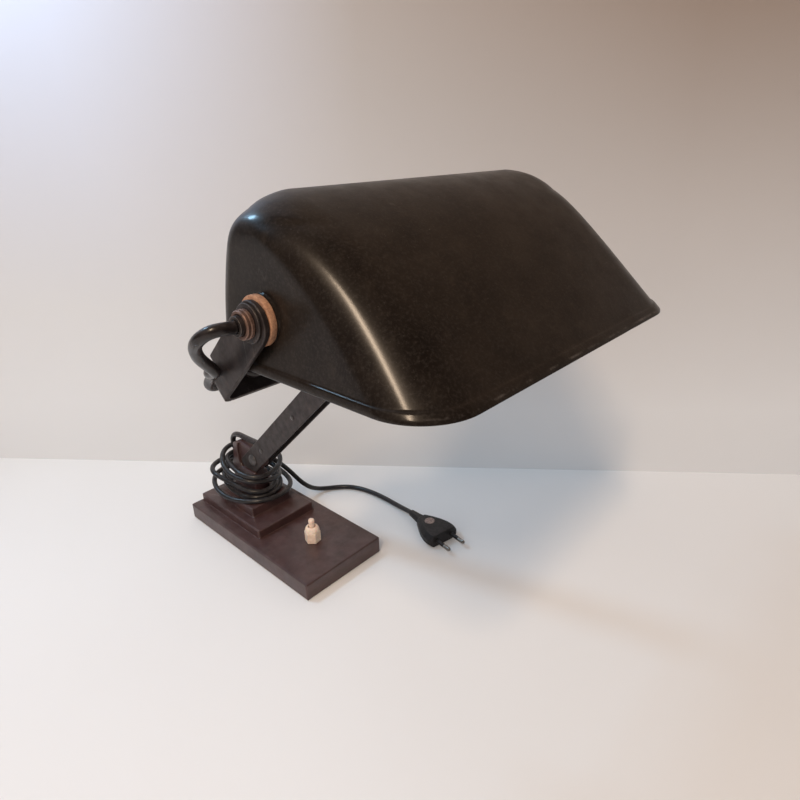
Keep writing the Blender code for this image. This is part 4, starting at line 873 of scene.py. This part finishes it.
def studio():
    """A pale desk top and a wall with painted shade that darkens it to the right and upwards and a
    painted bluish light at its upper left, lit by a warm ceiling lamp, a bluish window lamp and a wide
    soft light at the left."""
    desk = Finish("desk")
    tone = desk.mix(desk.span(desk.grain(0.5, 2.0), 0.3, 0.7), (0.76, 0.735, 0.72), (0.80, 0.78, 0.77))
    desk.finish(tone, desk.span(desk.grain(0.3, 2.0), 0.3, 0.7, 0.6, 0.75))
    wall = Finish("wall")
    across = wall.add("SeparateXYZ", {"Vector": wall.place}, "X")
    height = wall.add("SeparateXYZ", {"Vector": wall.place}, "Z")
    # Painted shade: the wall's colour darkens to the right and upwards, towards a brownish grey.
    painted_shade = wall.maths("MULTIPLY", wall.span(across, 0.0, 0.35, 0.45, 1.0),
                        wall.span(height, 0.08, 0.52))
    tone = wall.mix(wall.span(wall.grain(0.5, 2.0), 0.3, 0.7), (0.65, 0.64, 0.64), (0.69, 0.68, 0.68))
    # Painted light: a bluish tint on the wall's upper left, standing in for a window's light falling
    # there.
    painted_cool_light = wall.maths("MULTIPLY", wall.span(across, 0.16, -0.02), wall.span(height, 0.20, 0.50))
    tone = wall.mix(painted_shade, tone, (0.22, 0.155, 0.115))
    tone = wall.mix(painted_cool_light, tone, (0.60, 0.615, 0.71))
    wall.finish(tone, wall.span(wall.grain(0.3, 2.0), 0.3, 0.7, 0.8, 0.9))
    clear = wall.add("BsdfTransparent", {})
    behind = wall.add("NewGeometry", {}, "Backfacing")
    both = wall.add("MixShader", {0: behind, 1: wall.shader.outputs[0], 2: clear})
    wall.tree.links.new(both, wall.tree.nodes["Material Output"].inputs["Surface"])
    floor = mesh_object("floor", [(-4, -4, 0), (4, -4, 0), (4, 4, 0), (-4, 4, 0)], [(0, 1, 2, 3)])
    floor.data.materials.append(desk.material)
    # The wall's foot runs along the line where the desk ends in the photo.
    along = Vector((0.4412, -0.5655, 0.0)).normalized()
    facing = Vector((along.y, -along.x, 0.0))
    foot = Vector((-0.0603, 0.3042, 0.0))
    left, right, rise = foot - 3 * along, foot + 3 * along, Vector((0, 0, 3))
    points = [left, right, right + rise, left + rise]
    backdrop = mesh_object("backdrop", points, [(0, 1, 2, 3)])
    if backdrop.data.polygons[0].normal.dot(facing) < 0:
        backdrop.data.flip_normals()
    backdrop.data.materials.append(wall.material)
    backdrop.visible_shadow = False
    shade_corner = (-0.11, -0.26, 0.29)
    # Each lamp's place, the point it faces, its sizes, watts and colour, and whether it is mirrored.
    lamps = {
        "ceiling": ((-0.98, -0.68, 1.43), shade_corner, 0.11, 0.50, 16.0, (1.0, 0.77, 0.56), True),
        "window": ((-0.26, 0.30, 0.74), (-0.12, -0.20, 0.31), 0.08, 0.11, 1.9, (0.42, 0.72, 1.0), True),
        "left": ((-2.2, -0.2, 1.3), (-0.1, 0.0, 0.1), 1.8, 1.8, 12.0, (0.93, 0.97, 1.0), False),
    }
    for name, (at, to, width, height, power, colour, mirrored) in lamps.items():
        light = bpy.data.lights.new(name, "AREA")
        light.shape = "RECTANGLE"
        light.size = width
        light.size_y = height
        light.energy = power
        light.color = colour
        item = bpy.data.objects.new(name, light)
        item.location = at
        item.rotation_euler = (Vector(to) - Vector(at)).to_track_quat("-Z", "Y").to_euler()
        item.visible_glossy = mirrored
        bpy.context.scene.collection.objects.link(item)
    world = bpy.data.worlds.new("studio")
    world.use_nodes = True
    world.node_tree.nodes["Background"].inputs["Color"].default_value = (0.92, 0.95, 1.0, 1.0)
    world.node_tree.nodes["Background"].inputs["Strength"].default_value = 0.55
    bpy.context.scene.world = world
    world.cycles_visibility.glossy = False
    bpy.context.scene.view_settings.view_transform = "Standard"


camera()
FINISHES = make_finishes()
mains_cord()
lamp_lead()
shade()
pivots()
switch()
finish_cad_nodes()
studio()
